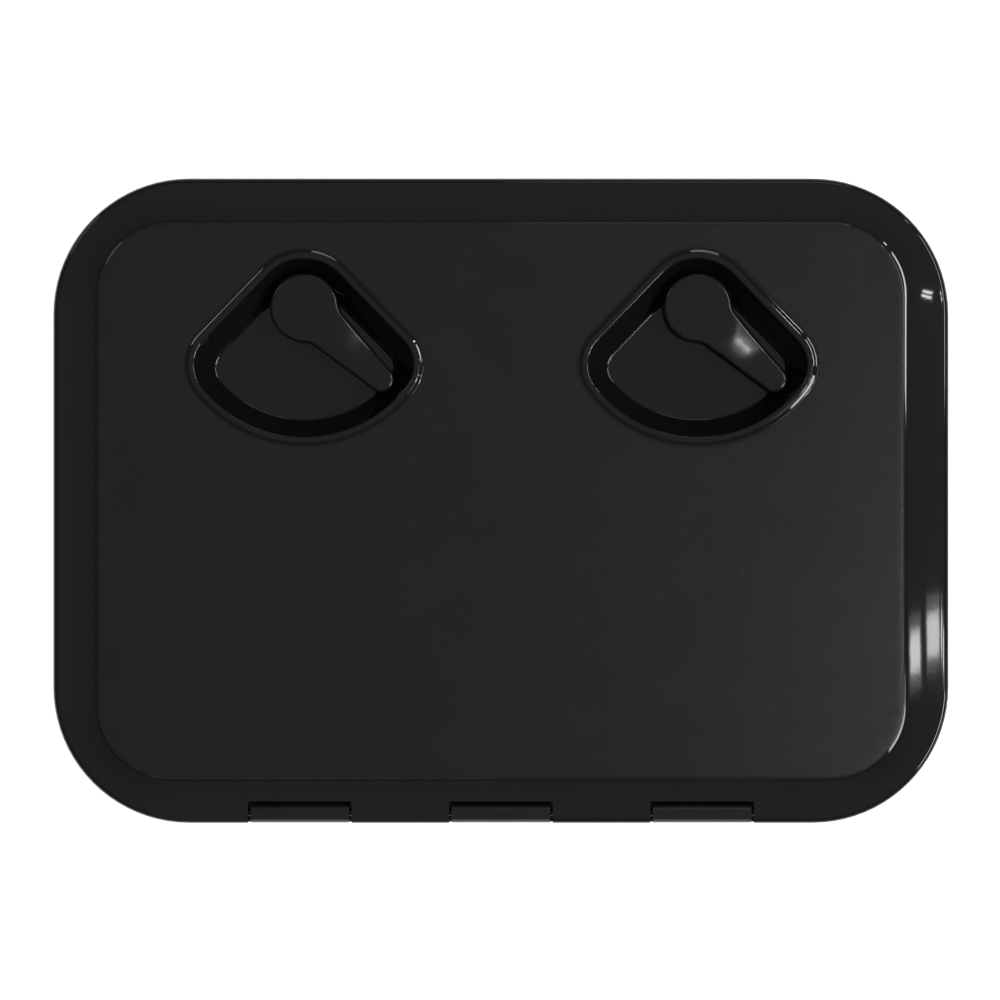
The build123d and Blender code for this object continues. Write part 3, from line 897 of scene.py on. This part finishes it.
# ---------------------------------------------------------------- lid
@dataclass
class Lid:
    """The moulded lid: sloping border, grained panel, latch recesses, ribs and hinge ears, in mm."""

    half_x: float = 187.5
    half_y: float = 135.0
    corner: float = 57.0
    wall: float = 3.0
    skirt_bottom: float = 4.0
    skirt_chamfer: float = 0.35
    edge_top: float = 13.0
    edge_round: float = 2.5
    edge_lead: float = 0.4
    edge_spans: int = 8
    border: float = 18.8
    border_end: float = 0.12
    border_spans: int = 12
    border_top: float = 16.2
    border_sag: float = 0.20
    panel_corner: float = 31.5
    panel_top: float = 17.0
    panel_round: float = 0.7
    panel_roll: float = 2.4
    panel_foot: float = 0.03
    panel_spans: int = 6
    roll_drop: float = 0.09
    round_share: float = 0.93
    flat_lead: float = 0.3
    ceiling: float = 13.8
    ceiling_inset: float = 21.5
    rim: Fan = field(default_factory=lambda: Fan(20.6, 54.2, 15.0))
    floor: Fan = field(default_factory=lambda: Fan(12.2, 47.2, 8.5))
    shoulder: float = 4.9
    shoulder_crest: float = 1.1
    shoulder_spans: int = 14
    rim_top: float = 17.8
    rim_round: float = 1.2
    recess_spans: int = 7
    wall_shares: tuple[float, ...] = (0.12, 0.3, 0.6, 0.85)
    floor_height: float = 4.0
    floor_round: float = 2.0
    wall_lean: float = 30.5
    pod_wall: float = 2.8
    pod_bottom: float = 1.0
    pod_round: tuple[Point, Point] = ((1.2, 0.0), (0.3, 0.4))
    pod_round_top: tuple[float, float] = (0.08, 1.25)
    boss_radius: float = 11.0
    boss_bottom: float = -6.0
    boss_chamfer: float = 0.5
    boss_fillet: float = 0.8
    bore_radius: float = 6.5
    bore_chamfer: float = 0.3
    hinge_pitch: float = 84.2
    notch_half: float = 21.7
    notch_back: float = -125.8
    ear_length: float = 9.0
    ear_back: float = -123.3
    ear_bottom: float = 6.07
    ear_top: float = 12.4
    pin_radius: float = 1.5
    relief_front: float = -130.1
    relief_half: float = 153.9
    channel: tuple[Point, Point] = ((165.6, 113.1), (156.0, 103.5))
    channel_corner: tuple[float, float] = (34.1, 24.5)
    channel_wall: float = 1.6
    channel_bottom: float = 11.8
    columns: tuple[int, float, float] = (5, 52.0, 205.4)
    rows: tuple[int, float, float] = (4, 42.0, 310.4)
    row_shift: float = -9.0
    rib_thickness: float = 2.0
    rib_bottom: float = 7.0
    rib_sink: float = 0.4
    channel_sink: float = 0.5
    cut_overrun: float = 5.0
    pin_overrun: float = 1.0

    def outline(self, inset: float) -> list[Point]:
        """Rounded outline of the lid drawn in by an inset.

        Args:
            inset: Distance from the outer edge, in millimetres.

        Returns:
            The outline.
        """
        shrink = (self.corner - self.panel_corner) / self.border
        corner = self.corner - shrink * min(inset, self.border) - max(inset - self.border, 0.0)
        return rounded_rect(self.half_x - inset, self.half_y - inset, corner)

    def outer_profile(self) -> list[tuple[float, float]]:
        """Inset and height of each ring from the skirt's foot to the panel's edge.

        Returns:
            Pairs of inset and height.
        """
        rise = self.border_top - self.edge_top
        tilt = math.atan2(rise, self.border)
        round_z = self.edge_top + self.edge_round * (math.tan(tilt) - 1.0 / math.cos(tilt))
        profile = [
            (self.skirt_chamfer, self.skirt_bottom),
            (0.0, self.skirt_bottom + self.skirt_chamfer),
            (0.0, round_z - self.edge_lead),
        ]
        for step in range(self.edge_spans + 1):
            turn = (math.pi / 2 - tilt) * step / self.edge_spans
            inset = self.edge_round * (1 - math.cos(turn))
            profile.append((inset, round_z + self.edge_round * math.sin(turn)))
        start = profile[-1][0]
        for step in range(1, self.border_spans + 1):
            share = step / self.border_spans
            inset = start + (self.border - self.border_end - start) * share
            sag = 4.0 * self.border_sag * share * (1.0 - share)
            profile.append((inset, self.edge_top + rise * inset / self.border - sag))
        return profile

    def panel_profile(self) -> list[tuple[float, float]]:
        """Inset and height of each ring over the panel's rounded step.

        Returns:
            Pairs of inset and height.
        """
        crest = self.panel_top - self.roll_drop
        profile = [(self.border, self.border_top + self.panel_foot)]
        for step in range(self.panel_spans + 1):
            turn = math.pi / 2 * step / self.panel_spans * self.round_share
            inset = self.border + self.panel_round * (1 - math.cos(turn))
            profile.append((inset, crest - self.panel_round * (1 - math.sin(turn))))
        start, height = profile[-1]
        for step in range(1, self.panel_spans + 1):
            share = step / self.panel_spans
            rise = (self.panel_top - height) * (1.0 - (1.0 - share) ** 2)
            profile.append((start + self.panel_roll * share, height + rise))
        profile.append((start + self.panel_roll + self.flat_lead, self.panel_top))
        return profile

    def recess_rings(self, skin: Skin, place: Point) -> tuple[Ring, Ring]:
        """Lays the shoulder, rim, wall and floor of one recess.

        Args:
            skin: Skin that takes the rings.
            place: Spindle's place.

        Returns:
            The outermost ring, on the panel, and the innermost, on the floor.
        """
        foot = self.shoulder + self.flat_lead
        first = skin.ring(moved(self.rim.outline(foot), place), self.panel_top)
        rings = [skin.ring(moved(self.rim.outline(self.shoulder), place), self.panel_top)]
        skin.bridge(first, rings[0], 1)
        lift = self.rim_top - self.panel_top
        for step in range(1, self.shoulder_spans + 1):
            share = step / self.shoulder_spans
            margin = self.shoulder + (self.shoulder_crest - self.shoulder) * share
            height = self.panel_top + lift * swell(share)
            rings.append(skin.ring(moved(self.rim.outline(margin), place), height))
        lean = math.radians(self.wall_lean)
        span = math.pi / 2 - lean
        tangent = self.rim_round * math.tan(span / 2)
        depth = self.rim_top - self.floor_height
        inward = self.rim.apex - self.floor.apex
        for step in range(self.recess_spans + 1):
            turn = span * step / self.recess_spans
            margin = tangent - self.rim_round * math.sin(turn)
            height = self.rim_top - self.rim_round * (1 - math.cos(turn))
            outline = self.rim.outline(margin)
            if margin < 0.0:
                outline = between(self.rim.outline(), self.floor.outline(), -margin / inward)
            rings.append(skin.ring(moved(outline, place), height))
        for share in self.wall_shares:
            outline = between(self.rim.outline(), self.floor.outline(), share)
            rings.append(skin.ring(moved(outline, place), self.rim_top - depth * share))
        tangent = self.floor_round * math.tan(span / 2)
        for step in range(self.recess_spans + 1):
            turn = span * (1 - step / self.recess_spans)
            margin = self.floor_round * math.sin(turn) - tangent
            height = self.floor_height + self.floor_round * (1 - math.cos(turn))
            rings.append(skin.ring(moved(self.floor.outline(margin), place), height))
        flat = self.floor.outline(-tangent - self.flat_lead)
        rings.append(skin.ring(moved(flat, place), self.floor_height))
        return first, skin.stack(rings)

    def pod_rings(self, skin: Skin, place: Point) -> tuple[Ring, Ring]:
        """Lays the bore, the boss and the outside of one latch pod.

        Args:
            skin: Skin that takes the rings.
            place: Spindle's place.

        Returns:
            The bore's top ring and the pod's top ring at the ceiling.
        """
        boss = [
            (self.bore_radius, self.floor_height),
            (self.bore_radius, self.boss_bottom + self.bore_chamfer),
            (self.bore_radius + self.bore_chamfer, self.boss_bottom),
            (self.boss_radius - self.boss_chamfer, self.boss_bottom),
            (self.boss_radius, self.boss_bottom + self.boss_chamfer),
            (self.boss_radius, self.pod_bottom - self.boss_fillet),
            (self.boss_radius + self.boss_fillet, self.pod_bottom),
        ]
        rings = [skin.ring(moved(circle(radius), place), height) for radius, height in boss]
        skin.stack(rings)
        base, top = self.floor.outline(self.pod_wall), self.rim.outline(self.pod_wall)
        share = (self.ceiling - self.pod_bottom) / (self.border_top - self.pod_bottom)
        pod = [
            skin.ring(moved(self.floor.outline(self.pod_wall - inset), place), self.pod_bottom + lift)
            for inset, lift in self.pod_round
        ]
        part, lift = self.pod_round_top
        pod.append(skin.ring(moved(between(base, top, part), place), self.pod_bottom + lift))
        pod.append(skin.ring(moved(between(base, top, share), place), self.ceiling))
        skin.cap([pod[0], rings[-1]])
        skin.stack(pod)
        return rings[0], pod[-1]

    def shell(self, places: Sequence[Point]) -> bpy.types.Object:
        """Builds the lid's closed shell before its notches and ribs.

        Args:
            places: Spindle places.

        Returns:
            The shell.
        """
        skin = Skin()
        outer = [skin.ring(self.outline(inset), height) for inset, height in self.outer_profile()]
        skin.stack(outer)
        panel = [skin.ring(self.outline(inset), height) for inset, height in self.panel_profile()]
        skin.bridge(outer[-1], panel[0])
        roll = self.panel_spans + 1
        skin.stack(panel[: roll + 1])
        skin.stack(panel[roll:], 1)
        recesses = [self.recess_rings(skin, place) for place in places]
        pods = [self.pod_rings(skin, place) for place in places]
        skin.cap([panel[-1]] + [recess[0] for recess in recesses], 1)
        for recess, pod in zip(recesses, pods):
            skin.cap([recess[1], pod[0]])
        inner_corner = self.corner - self.wall
        inner_x, inner_y = self.half_x - self.wall, self.half_y - self.wall
        inside = [
            skin.ring(rounded_rect(inner_x, inner_y, inner_corner), self.skirt_bottom),
            skin.ring(rounded_rect(inner_x, inner_y, inner_corner), self.edge_top - self.wall),
            skin.ring(self.outline(self.ceiling_inset), self.ceiling),
        ]
        skin.bridge(outer[0], inside[0])
        skin.stack(inside)
        skin.cap([inside[-1]] + [pod[1] for pod in pods])
        return skin.finished("lid_moulding")

    def channel_wall_ring(self, index: int) -> bpy.types.Object:
        """Builds one of the two low walls that hold the seal.

        Args:
            index: 0 for the outer wall and 1 for the inner.

        Returns:
            The wall.
        """
        (half_x, half_y), corner = self.channel[index], self.channel_corner[index]
        skin = Skin()
        wall = self.channel_wall
        root = self.ceiling + self.channel_sink
        section = [(0.0, root), (0.0, self.channel_bottom), (wall, self.channel_bottom), (wall, root)]
        rings = [
            skin.ring(rounded_rect(half_x - inset, half_y - inset, corner - inset), height)
            for inset, height in section
        ]
        skin.stack(rings + [rings[0]])
        return skin.finished("channel_wall")

    def pod_core(self, place: Point) -> bpy.types.Object:
        """Builds the form inside one pod's wall, used to clear the ribs.

        Args:
            place: Spindle's place.

        Returns:
            The form.
        """
        skin = Skin()
        margin = self.pod_wall / 2
        bottom = skin.ring(moved(self.floor.outline(margin), place), self.pod_bottom + margin)
        top = skin.ring(moved(self.rim.outline(margin), place), self.rim_top)
        skin.bridge(bottom, top)
        skin.cap([bottom])
        skin.cap([top])
        return skin.finished("pod_core")

    def build(self, places: Sequence[Point], hinge_y: float, hinge_z: float) -> bpy.types.Object:
        """Builds and dresses the whole lid.

        Args:
            places: Spindle places.
            hinge_y: Y of the hinge axis.
            hinge_z: Height of the hinge axis.

        Returns:
            The finished lid.
        """
        gloss, grained = GLOSS.make(), GRAINED.make()
        lid = self.shell(places)
        dress(lid, gloss, grained)
        span = (self.rib_bottom, self.ceiling + self.rib_sink)
        columns = RibRow(*self.columns, self.rib_thickness, *span)
        rows = RibRow(*self.rows, self.rib_thickness, *span, offset=self.row_shift, across=True)
        for row in (columns, rows):
            bars = row.build(gloss)
            dress(bars, gloss, grained)
            for place in places:
                apply_cut(bars, self.pod_core(place), Cut.TAKE_AWAY)
            apply_cut(lid, bars, Cut.JOIN)
        for index in range(2):
            apply_cut(lid, self.channel_wall_ring(index), Cut.JOIN)
        for hinge in (-1, 0, 1):
            middle = hinge * self.hinge_pitch
            ear_half = self.notch_half + self.ear_length
            front = -self.half_y + self.wall / 2
            low = (middle - ear_half, front, self.ear_bottom)
            high = (middle + ear_half, self.ear_back, self.ear_top)
            apply_cut(lid, block("ear", low, high), Cut.JOIN)
        for hinge in (-1, 0, 1):
            middle = hinge * self.hinge_pitch
            low = (middle - self.notch_half, -self.half_y - self.cut_overrun, 0.0)
            high = (middle + self.notch_half, self.notch_back, self.panel_top)
            apply_cut(lid, block("notch", low, high), Cut.TAKE_AWAY)
            reach = self.notch_half + self.ear_length + self.pin_overrun
            rod = cross_rod("pin_hole", self.pin_radius, reach, (middle, hinge_y, hinge_z))
            apply_cut(lid, rod, Cut.TAKE_AWAY)
        low = (-self.relief_half, -self.half_y - self.cut_overrun, 0.0)
        high = (self.relief_half, self.relief_front, self.ear_bottom)
        apply_cut(lid, block("relief", low, high), Cut.TAKE_AWAY)
        soften(lid)
        keep(lid, "lid", "lid_plastic", "lid")
        return lid


@dataclass
class Seal:
    """Rubber seal with a rounded lip, seated in the lid's channel."""

    half_x: float = 160.0
    half_y: float = 107.5
    corner: float = 28.5
    half_width: float = 4.0
    top: float = 13.8
    bottom: float = 10.3
    base: float = 1.3
    lip_inset: float = 0.6
    lip_spans: int = 12

    def build(self) -> bpy.types.Object:
        """Builds and dresses the seal.

        Returns:
            The finished seal.
        """
        skin = Skin()
        section = [(-self.half_width, self.top), (-self.half_width, self.top - self.base)]
        depth = self.top - self.base - self.bottom
        lip = self.half_width - self.lip_inset
        for step in range(1, self.lip_spans):
            turn = math.pi * step / self.lip_spans
            height = self.top - self.base - depth * math.sin(turn)
            section.append((-math.cos(turn) * lip, height))
        section += [(self.half_width, self.top - self.base), (self.half_width, self.top)]
        rings = [
            skin.ring(rounded_rect(self.half_x + out, self.half_y + out, self.corner + out), height)
            for out, height in section
        ]
        skin.stack(rings + [rings[0]])
        seal = skin.finished("lip_seal")
        dress(seal, RUBBER.make())
        soften(seal)
        keep(seal, "lid", "seal_rubber", "lid_seal")
        return seal


# ---------------------------------------------------------------- latch handle
@dataclass
class LatchHandle:
    """Knob, finger lever and spindle of one latch in one moulding."""

    place: Point
    side: Side
    top: float = 16.4
    knob: float = 14.4
    root: float = 10.0
    root_radius: float = 9.3
    tip: float = 44.0
    tip_radius: float = 5.5
    blend: float = 8.0
    thickness: float = 5.8
    draft: float = 0.41
    under_round: tuple[float, float] = (0.6, 0.15)
    side_ring: tuple[float, float, float] = (0.4, 0.5, 0.8)
    edge_round: float = 1.6
    edge_spans: int = 8
    top_insets: tuple[float, ...] = (1.9, 2.8, 3.8, 4.8)
    top_cuts: int = 7
    turn: float = -43.0
    ramp_start: float = 15.5
    ramp_end: float = 33.5
    ramp_drop: float = 2.5
    crown: float = 0.009
    crown_start: float = 12.0
    crown_end: float = 20.0
    knob_bottom: float = 9.4
    knob_under: float = 13.4
    knob_chamfer: tuple[float, float] = (0.7, 0.6)
    knob_draft: float = 0.1
    hub: float = 9.5
    hub_bottom: float = 5.1
    hub_fillet: float = 0.5
    hub_chamfer: float = 0.4
    spindle: float = 5.0
    spindle_chamfer: tuple[float, float] = (0.03, 0.2)
    groove: float = 3.55
    groove_middle: float = 0.5
    groove_half: float = 0.7
    square_half: float = 3.5
    square_top: float = -7.0
    square_bottom: float = -11.95
    bore: float = 2.5
    bore_top: float = 2.05

    def outline(self, inset: float) -> list[Point]:
        """Outline of knob and lever along +X, drawn in by an inset.

        Args:
            inset: Distance from the outer edge, in millimetres.

        Returns:
            Points anticlockwise, the same number for every inset.
        """
        lean = math.asin((self.root_radius - self.tip_radius) / (self.tip - self.root))
        normal = Vector((math.sin(lean), math.cos(lean)))
        along = Vector((math.cos(lean), -math.sin(lean)))
        offset = self.root_radius + self.root * math.sin(lean)
        out = offset + self.blend
        centre = normal * out + along * math.sqrt((self.knob + self.blend) ** 2 - out**2)
        knob_angle = math.degrees(math.atan2(centre.y, centre.x))
        side_angle = 90.0 - math.degrees(lean)
        tip = arc((self.tip, 0.0), self.tip_radius - inset, 0.0, side_angle, 12)
        side_end = centre - normal * (self.blend + inset)
        side = [tuple(Vector(tip[-1]).lerp(side_end, i / 16)) for i in range(1, 16)]
        blend_start, blend_end = side_angle + 180.0, knob_angle + 180.0
        blend = arc((centre.x, centre.y), self.blend + inset, blend_start, blend_end, 10)
        knob = arc((0.0, 0.0), self.knob - inset, knob_angle, 180.0, 30)[1:]
        half = tip + side + blend + knob
        return half + [(x, -y) for x, y in reversed(half[1:-1])]

    def lowered(self, point: Point) -> float:
        """How far the lever's ramped and crowned top lies below the knob's.

        Args:
            point: Where, with the lever along +X.

        Returns:
            The depth in millimetres.
        """
        ramp = self.ramp_drop * ease(point[0], self.ramp_start, self.ramp_end)
        crown = self.crown * point[1] ** 2
        return ramp + crown * ease(point[0], self.crown_start, self.crown_end)

    def top_ring(self, skin: Skin, inset: float, drop: float, share: float = 1.0) -> Ring:
        """Lays one ring near the top surface, following the lever's ramp.

        Args:
            skin: Skin that takes the ring.
            inset: Inset of the outline.
            drop: Depth below the top surface.
            share: How much of the ramp the ring follows.

        Returns:
            The ring.
        """
        outline = self.outline(inset)
        heights = [self.top - drop - share * self.lowered(point) for point in outline]
        placed = moved(outline, self.place, self.turn)
        return [skin.form.verts.new((p[0] * MM, p[1] * MM, z * MM)) for p, z in zip(placed, heights)]

    def crown_top(self, skin: Skin, faces: Sequence[bmesh.types.BMFace]) -> None:
        """Divides the top's inner faces finely and lays them on the crowned surface.

        Args:
            skin: Skin that holds the faces.
            faces: Faces of the top's inner area.
        """
        own = set(faces)
        edges = dict.fromkeys(edge for face in faces for edge in face.edges)
        inner = [edge for edge in edges if own.issuperset(edge.link_faces)]
        made = bmesh.ops.subdivide_edges(skin.form, edges=inner, cuts=self.top_cuts, use_grid_fill=True)
        cos_turn, sin_turn = math.cos(math.radians(self.turn)), math.sin(math.radians(self.turn))
        for vert in (item for item in made["geom_inner"] if isinstance(item, bmesh.types.BMVert)):
            x, y = vert.co.x / MM - self.place[0], vert.co.y / MM - self.place[1]
            point = (x * cos_turn + y * sin_turn, y * cos_turn - x * sin_turn)
            vert.co.z = (self.top - self.lowered(point)) * MM
        uneven = [face for face in skin.form.faces if len(face.verts) > 4]
        bmesh.ops.triangulate(skin.form, faces=uneven)

    def round_ring(self, skin: Skin, radius: float, height: float) -> Ring:
        """Lays one circle about the spindle."""
        return skin.ring(moved(circle(radius), self.place), height)

    def build(self, material: bpy.types.Material) -> bpy.types.Object:
        """Builds and dresses the handle.

        Args:
            material: Its finish.

        Returns:
            The finished handle.
        """
        skin = Skin()
        under = self.thickness
        wide, narrow = self.under_round
        draft_share, below_edge, ramp_share = self.side_ring
        rings = [
            self.top_ring(skin, self.draft + wide, under, 0.0),
            self.top_ring(skin, self.draft + narrow, under - narrow, 0.0),
            self.top_ring(skin, self.draft, under - wide, 0.0),
            self.top_ring(skin, self.draft * draft_share, self.edge_round + below_edge, ramp_share),
        ]
        for step in range(self.edge_spans + 1):
            turn = math.pi / 2 * step / self.edge_spans
            inset = self.edge_round * (1 - math.cos(turn))
            rings.append(self.top_ring(skin, inset, self.edge_round * (1 - math.sin(turn))))
        for inset in self.top_insets:
            rings.append(self.top_ring(skin, inset, 0.0))
        skin.stack(rings)
        inner_top = skin.cap([rings[-1]])
        chamfer_in, chamfer_up = self.knob_chamfer
        profile = [
            (self.knob_under, self.top - under),
            (self.knob_under - self.knob_draft, self.knob_bottom + chamfer_up),
            (self.knob_under - chamfer_in, self.knob_bottom),
            (self.hub + self.hub_fillet, self.knob_bottom),
            (self.hub, self.knob_bottom - self.hub_fillet),
            (self.hub, self.hub_bottom + self.hub_chamfer),
            (self.hub - self.hub_chamfer, self.hub_bottom),
            (self.spindle, self.hub_bottom),
            (self.spindle, self.groove_middle + self.groove_half),
            (self.groove, self.groove_middle + self.groove_half),
            (self.groove, self.groove_middle - self.groove_half),
            (self.spindle, self.groove_middle - self.groove_half),
            (self.spindle, self.square_top + self.spindle_chamfer[1]),
            (self.spindle - self.spindle_chamfer[0], self.square_top),
        ]
        turned = [self.round_ring(skin, radius, height) for radius, height in profile]
        skin.cap([rings[0], turned[0]])
        skin.stack(turned)
        half = self.square_half
        square = [(half, half), (-half, half), (-half, -half), (half, -half)]
        upper = skin.ring(moved(square, self.place), self.square_top)
        lower = skin.ring(moved(square, self.place), self.square_bottom)
        skin.cap([turned[-1], upper])
        skin.bridge(upper, lower)
        ends = (self.square_bottom, self.bore_top)
        bore = [self.round_ring(skin, self.bore, height) for height in ends]
        skin.cap([lower, bore[0]])
        skin.bridge(*bore)
        skin.cap([bore[1]])
        self.crown_top(skin, inner_top)
        handle = skin.finished(f"lever_handle_{self.side.label}")
        dress(handle, material)
        soften(handle)
        keep(handle, f"latch_{self.side.label}", "handle_plastic", f"latch_handle_{self.side.label}")
        return handle


# ---------------------------------------------------------------- hardware kept from the frame
@dataclass
class Hardware:
    """Pieces whose shape is already final, given their finishes."""

    finishes: dict[str, object] = field(
        default_factory=lambda: {
            "frame": FRAME,
            "hinge_pin": PIN_STEEL,
            "spindle_bush": NYLON,
            "spindle_seal": RUBBER,
            "thrust_washer": NYLON,
            "latch_cam": CAM,
            "cam_washer": TURNED_STEEL,
            "cam_screw": TURNED_STEEL,
        }
    )

    def dress(self, nodes: dict[str, bpy.types.Object]) -> None:
        """Puts a finish on every node that keeps its shape.

        Args:
            nodes: The frame's nodes by name.
        """
        made: dict[str, bpy.types.Material] = {}
        for prefix, finish in self.finishes.items():
            if finish.name not in made:
                made[finish.name] = finish.make()
            for name, node in nodes.items():
                if name.startswith(prefix):
                    node.material_slots[0].material = made[finish.name]
                    log.info("%s dressed in %s", name, finish.name)


# ---------------------------------------------------------------- studio
@dataclass(frozen=True)
class SoftLight:
    """A rectangular soft light that looks at a point, in metres."""

    name: str
    place: tuple[float, float, float]
    aim: tuple[float, float, float]
    size: tuple[float, float]
    power: float

    def build(self) -> None:
        """Places the light."""
        lamp = bpy.data.lights.new(self.name, "AREA")
        lamp.shape = "RECTANGLE"
        lamp.size, lamp.size_y = self.size
        lamp.energy = self.power
        light = bpy.data.objects.new(self.name, lamp)
        light.location = self.place
        light.rotation_mode = "QUATERNION"
        light.rotation_quaternion = (Vector(self.aim) - Vector(self.place)).to_track_quat("-Z", "Y")
        bpy.context.scene.collection.objects.link(light)


@dataclass
class Studio:
    """Pale floor, soft lights and the camera straight above."""

    floor_height: float = -0.0305
    floor_size: float = 3.0
    floor_corner: float = 0.375
    floor_thickness: float = 0.020
    corner_spans: int = 8
    zenith_light: float = 0.30
    horizon_light: float = 0.13
    overhead_fade: tuple[float, float] = (0.75, 0.97)
    field_width: float = 0.4185
    distance: float = 2.2
    lid_height: float = 0.013
    centre: Point = (-0.0004, 0.0003)
    sensor: float = 36.0
    far_clip: float = 20.0
    lights: tuple[SoftLight, ...] = (
        SoftLight("key_right", (1.10, -0.45, 1.10), (0.0, 0.0, 0.0), (0.60, 0.30), 6.5),
        SoftLight("fill_left", (-1.10, 0.80, 1.1), (0.0, 0.0, 0.0), (0.40, 0.20), 0.9),
        SoftLight("fill_front", (-0.25, -1.10, 1.1), (0.0, 0.0, 0.0), (0.5, 0.16), 0.2),
        SoftLight("back_top", (0.25, 1.10, 1.1), (0.0, 0.0, 0.0), (0.5, 0.12), 0.5),
        SoftLight("panel_sheen", (0.45, -0.12, 1.0), (0.12, -0.08, 0.0), (0.40, 0.10), 0.30),
        SoftLight("glint_inner", (0.664, -0.101, 1.0), (0.17, -0.06, 0.0), (0.027, 0.046), 0.055),
        SoftLight("glint_outer", (0.574, -0.087, 1.0), (0.18, -0.06, 0.0), (0.029, 0.055), 0.065),
        SoftLight("glow_inner", (0.664, -0.101, 1.0), (0.17, -0.06, 0.0), (0.050, 0.056), 0.012),
        SoftLight("glow_outer", (0.574, -0.087, 1.0), (0.18, -0.06, 0.0), (0.050, 0.062), 0.014),
        SoftLight("glint_bar_upper", (0.608, 0.1775, 1.0), (0.18, 0.08, 0.0), (0.008, 0.047), 0.030),
        SoftLight("glint_bar_lower", (0.6125, 0.1595, 1.0), (0.18, 0.08, 0.0), (0.008, 0.047), 0.030),
        SoftLight("glint_lever", (0.48, -0.14, 1.0), (0.10, 0.066, 0.0), (0.06, 0.05), 0.35),
        SoftLight("glint_shoulder", (0.664, 0.571, 1.0), (0.12, 0.08, 0.0), (0.030, 0.075), 0.18),
        SoftLight("glint_corner", (0.86, 0.31, 1.0), (0.16, 0.08, 0.0), (0.50, 0.12), 2.6),
    )

    def hang_air(self) -> None:
        """Surrounds the studio with light that is brighter overhead than low down."""
        world = bpy.data.worlds.new("studio_air")
        world.use_nodes = True
        nodes, links = world.node_tree.nodes, world.node_tree.links
        nodes["Background"].inputs["Color"].default_value = (1.0, 1.0, 1.0, 1.0)
        spot, split = nodes.new("ShaderNodeTexCoord"), nodes.new("ShaderNodeSeparateXYZ")
        fade = nodes.new("ShaderNodeMapRange")
        fade.interpolation_type = "SMOOTHSTEP"
        values = (*self.overhead_fade, self.horizon_light, self.zenith_light)
        for socket, value in zip(fade.inputs[1:5], values):
            socket.default_value = value
        links.new(spot.outputs["Generated"], split.inputs[0])
        links.new(split.outputs["Z"], fade.inputs[0])
        links.new(fade.outputs[0], nodes["Background"].inputs["Strength"])
        bpy.context.scene.world = world

    def build(self) -> None:
        """Sets up the floor, the light and the camera."""
        skin = Skin()
        half = self.floor_size / 2 / MM
        outline = rounded_rect(half, half, self.floor_corner / MM, self.corner_spans)
        top = skin.ring(outline, self.floor_height / MM)
        bottom = skin.ring(outline, (self.floor_height - self.floor_thickness) / MM)
        skin.bridge(top, bottom)
        skin.cap([top])
        skin.cap([bottom])
        floor = skin.finished("studio_floor")
        dress(floor, FLOOR.make())
        self.hang_air()
        for light in self.lights:
            light.build()
        bpy.context.scene.view_settings.view_transform = "Standard"
        lens = bpy.data.cameras.new("camera")
        lens.sensor_width = self.sensor
        lens.lens = self.sensor * self.distance / self.field_width
        lens.clip_end = self.far_clip
        camera = bpy.data.objects.new("camera", lens)
        camera.location = (*self.centre, self.lid_height + self.distance)
        bpy.context.scene.collection.objects.link(camera)
        bpy.context.scene.camera = camera
        log.info("studio ready with %d lights", len(self.lights))


def main() -> None:
    """Builds every piece in order."""
    logging.basicConfig(level=logging.INFO, format="%(name)s: %(message)s")
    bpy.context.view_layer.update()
    joints = {joint["name"]: [value / MM for value in joint["pos_m"]] for joint in frame["joints"]}
    places = {side: tuple(joints[f"latch_turn_{side.label}"][:2]) for side in Side}
    hinge = joints["lid_hinge"]
    Lid().build([places[side] for side in Side], hinge[1], hinge[2])
    Seal().build()
    handle_material = HANDLE.make()
    for side in Side:
        LatchHandle(places[side], side).build(handle_material)
    Hardware().dress(frame["nodes"])
    Studio().build()


if __name__ == "__main__":
    main()
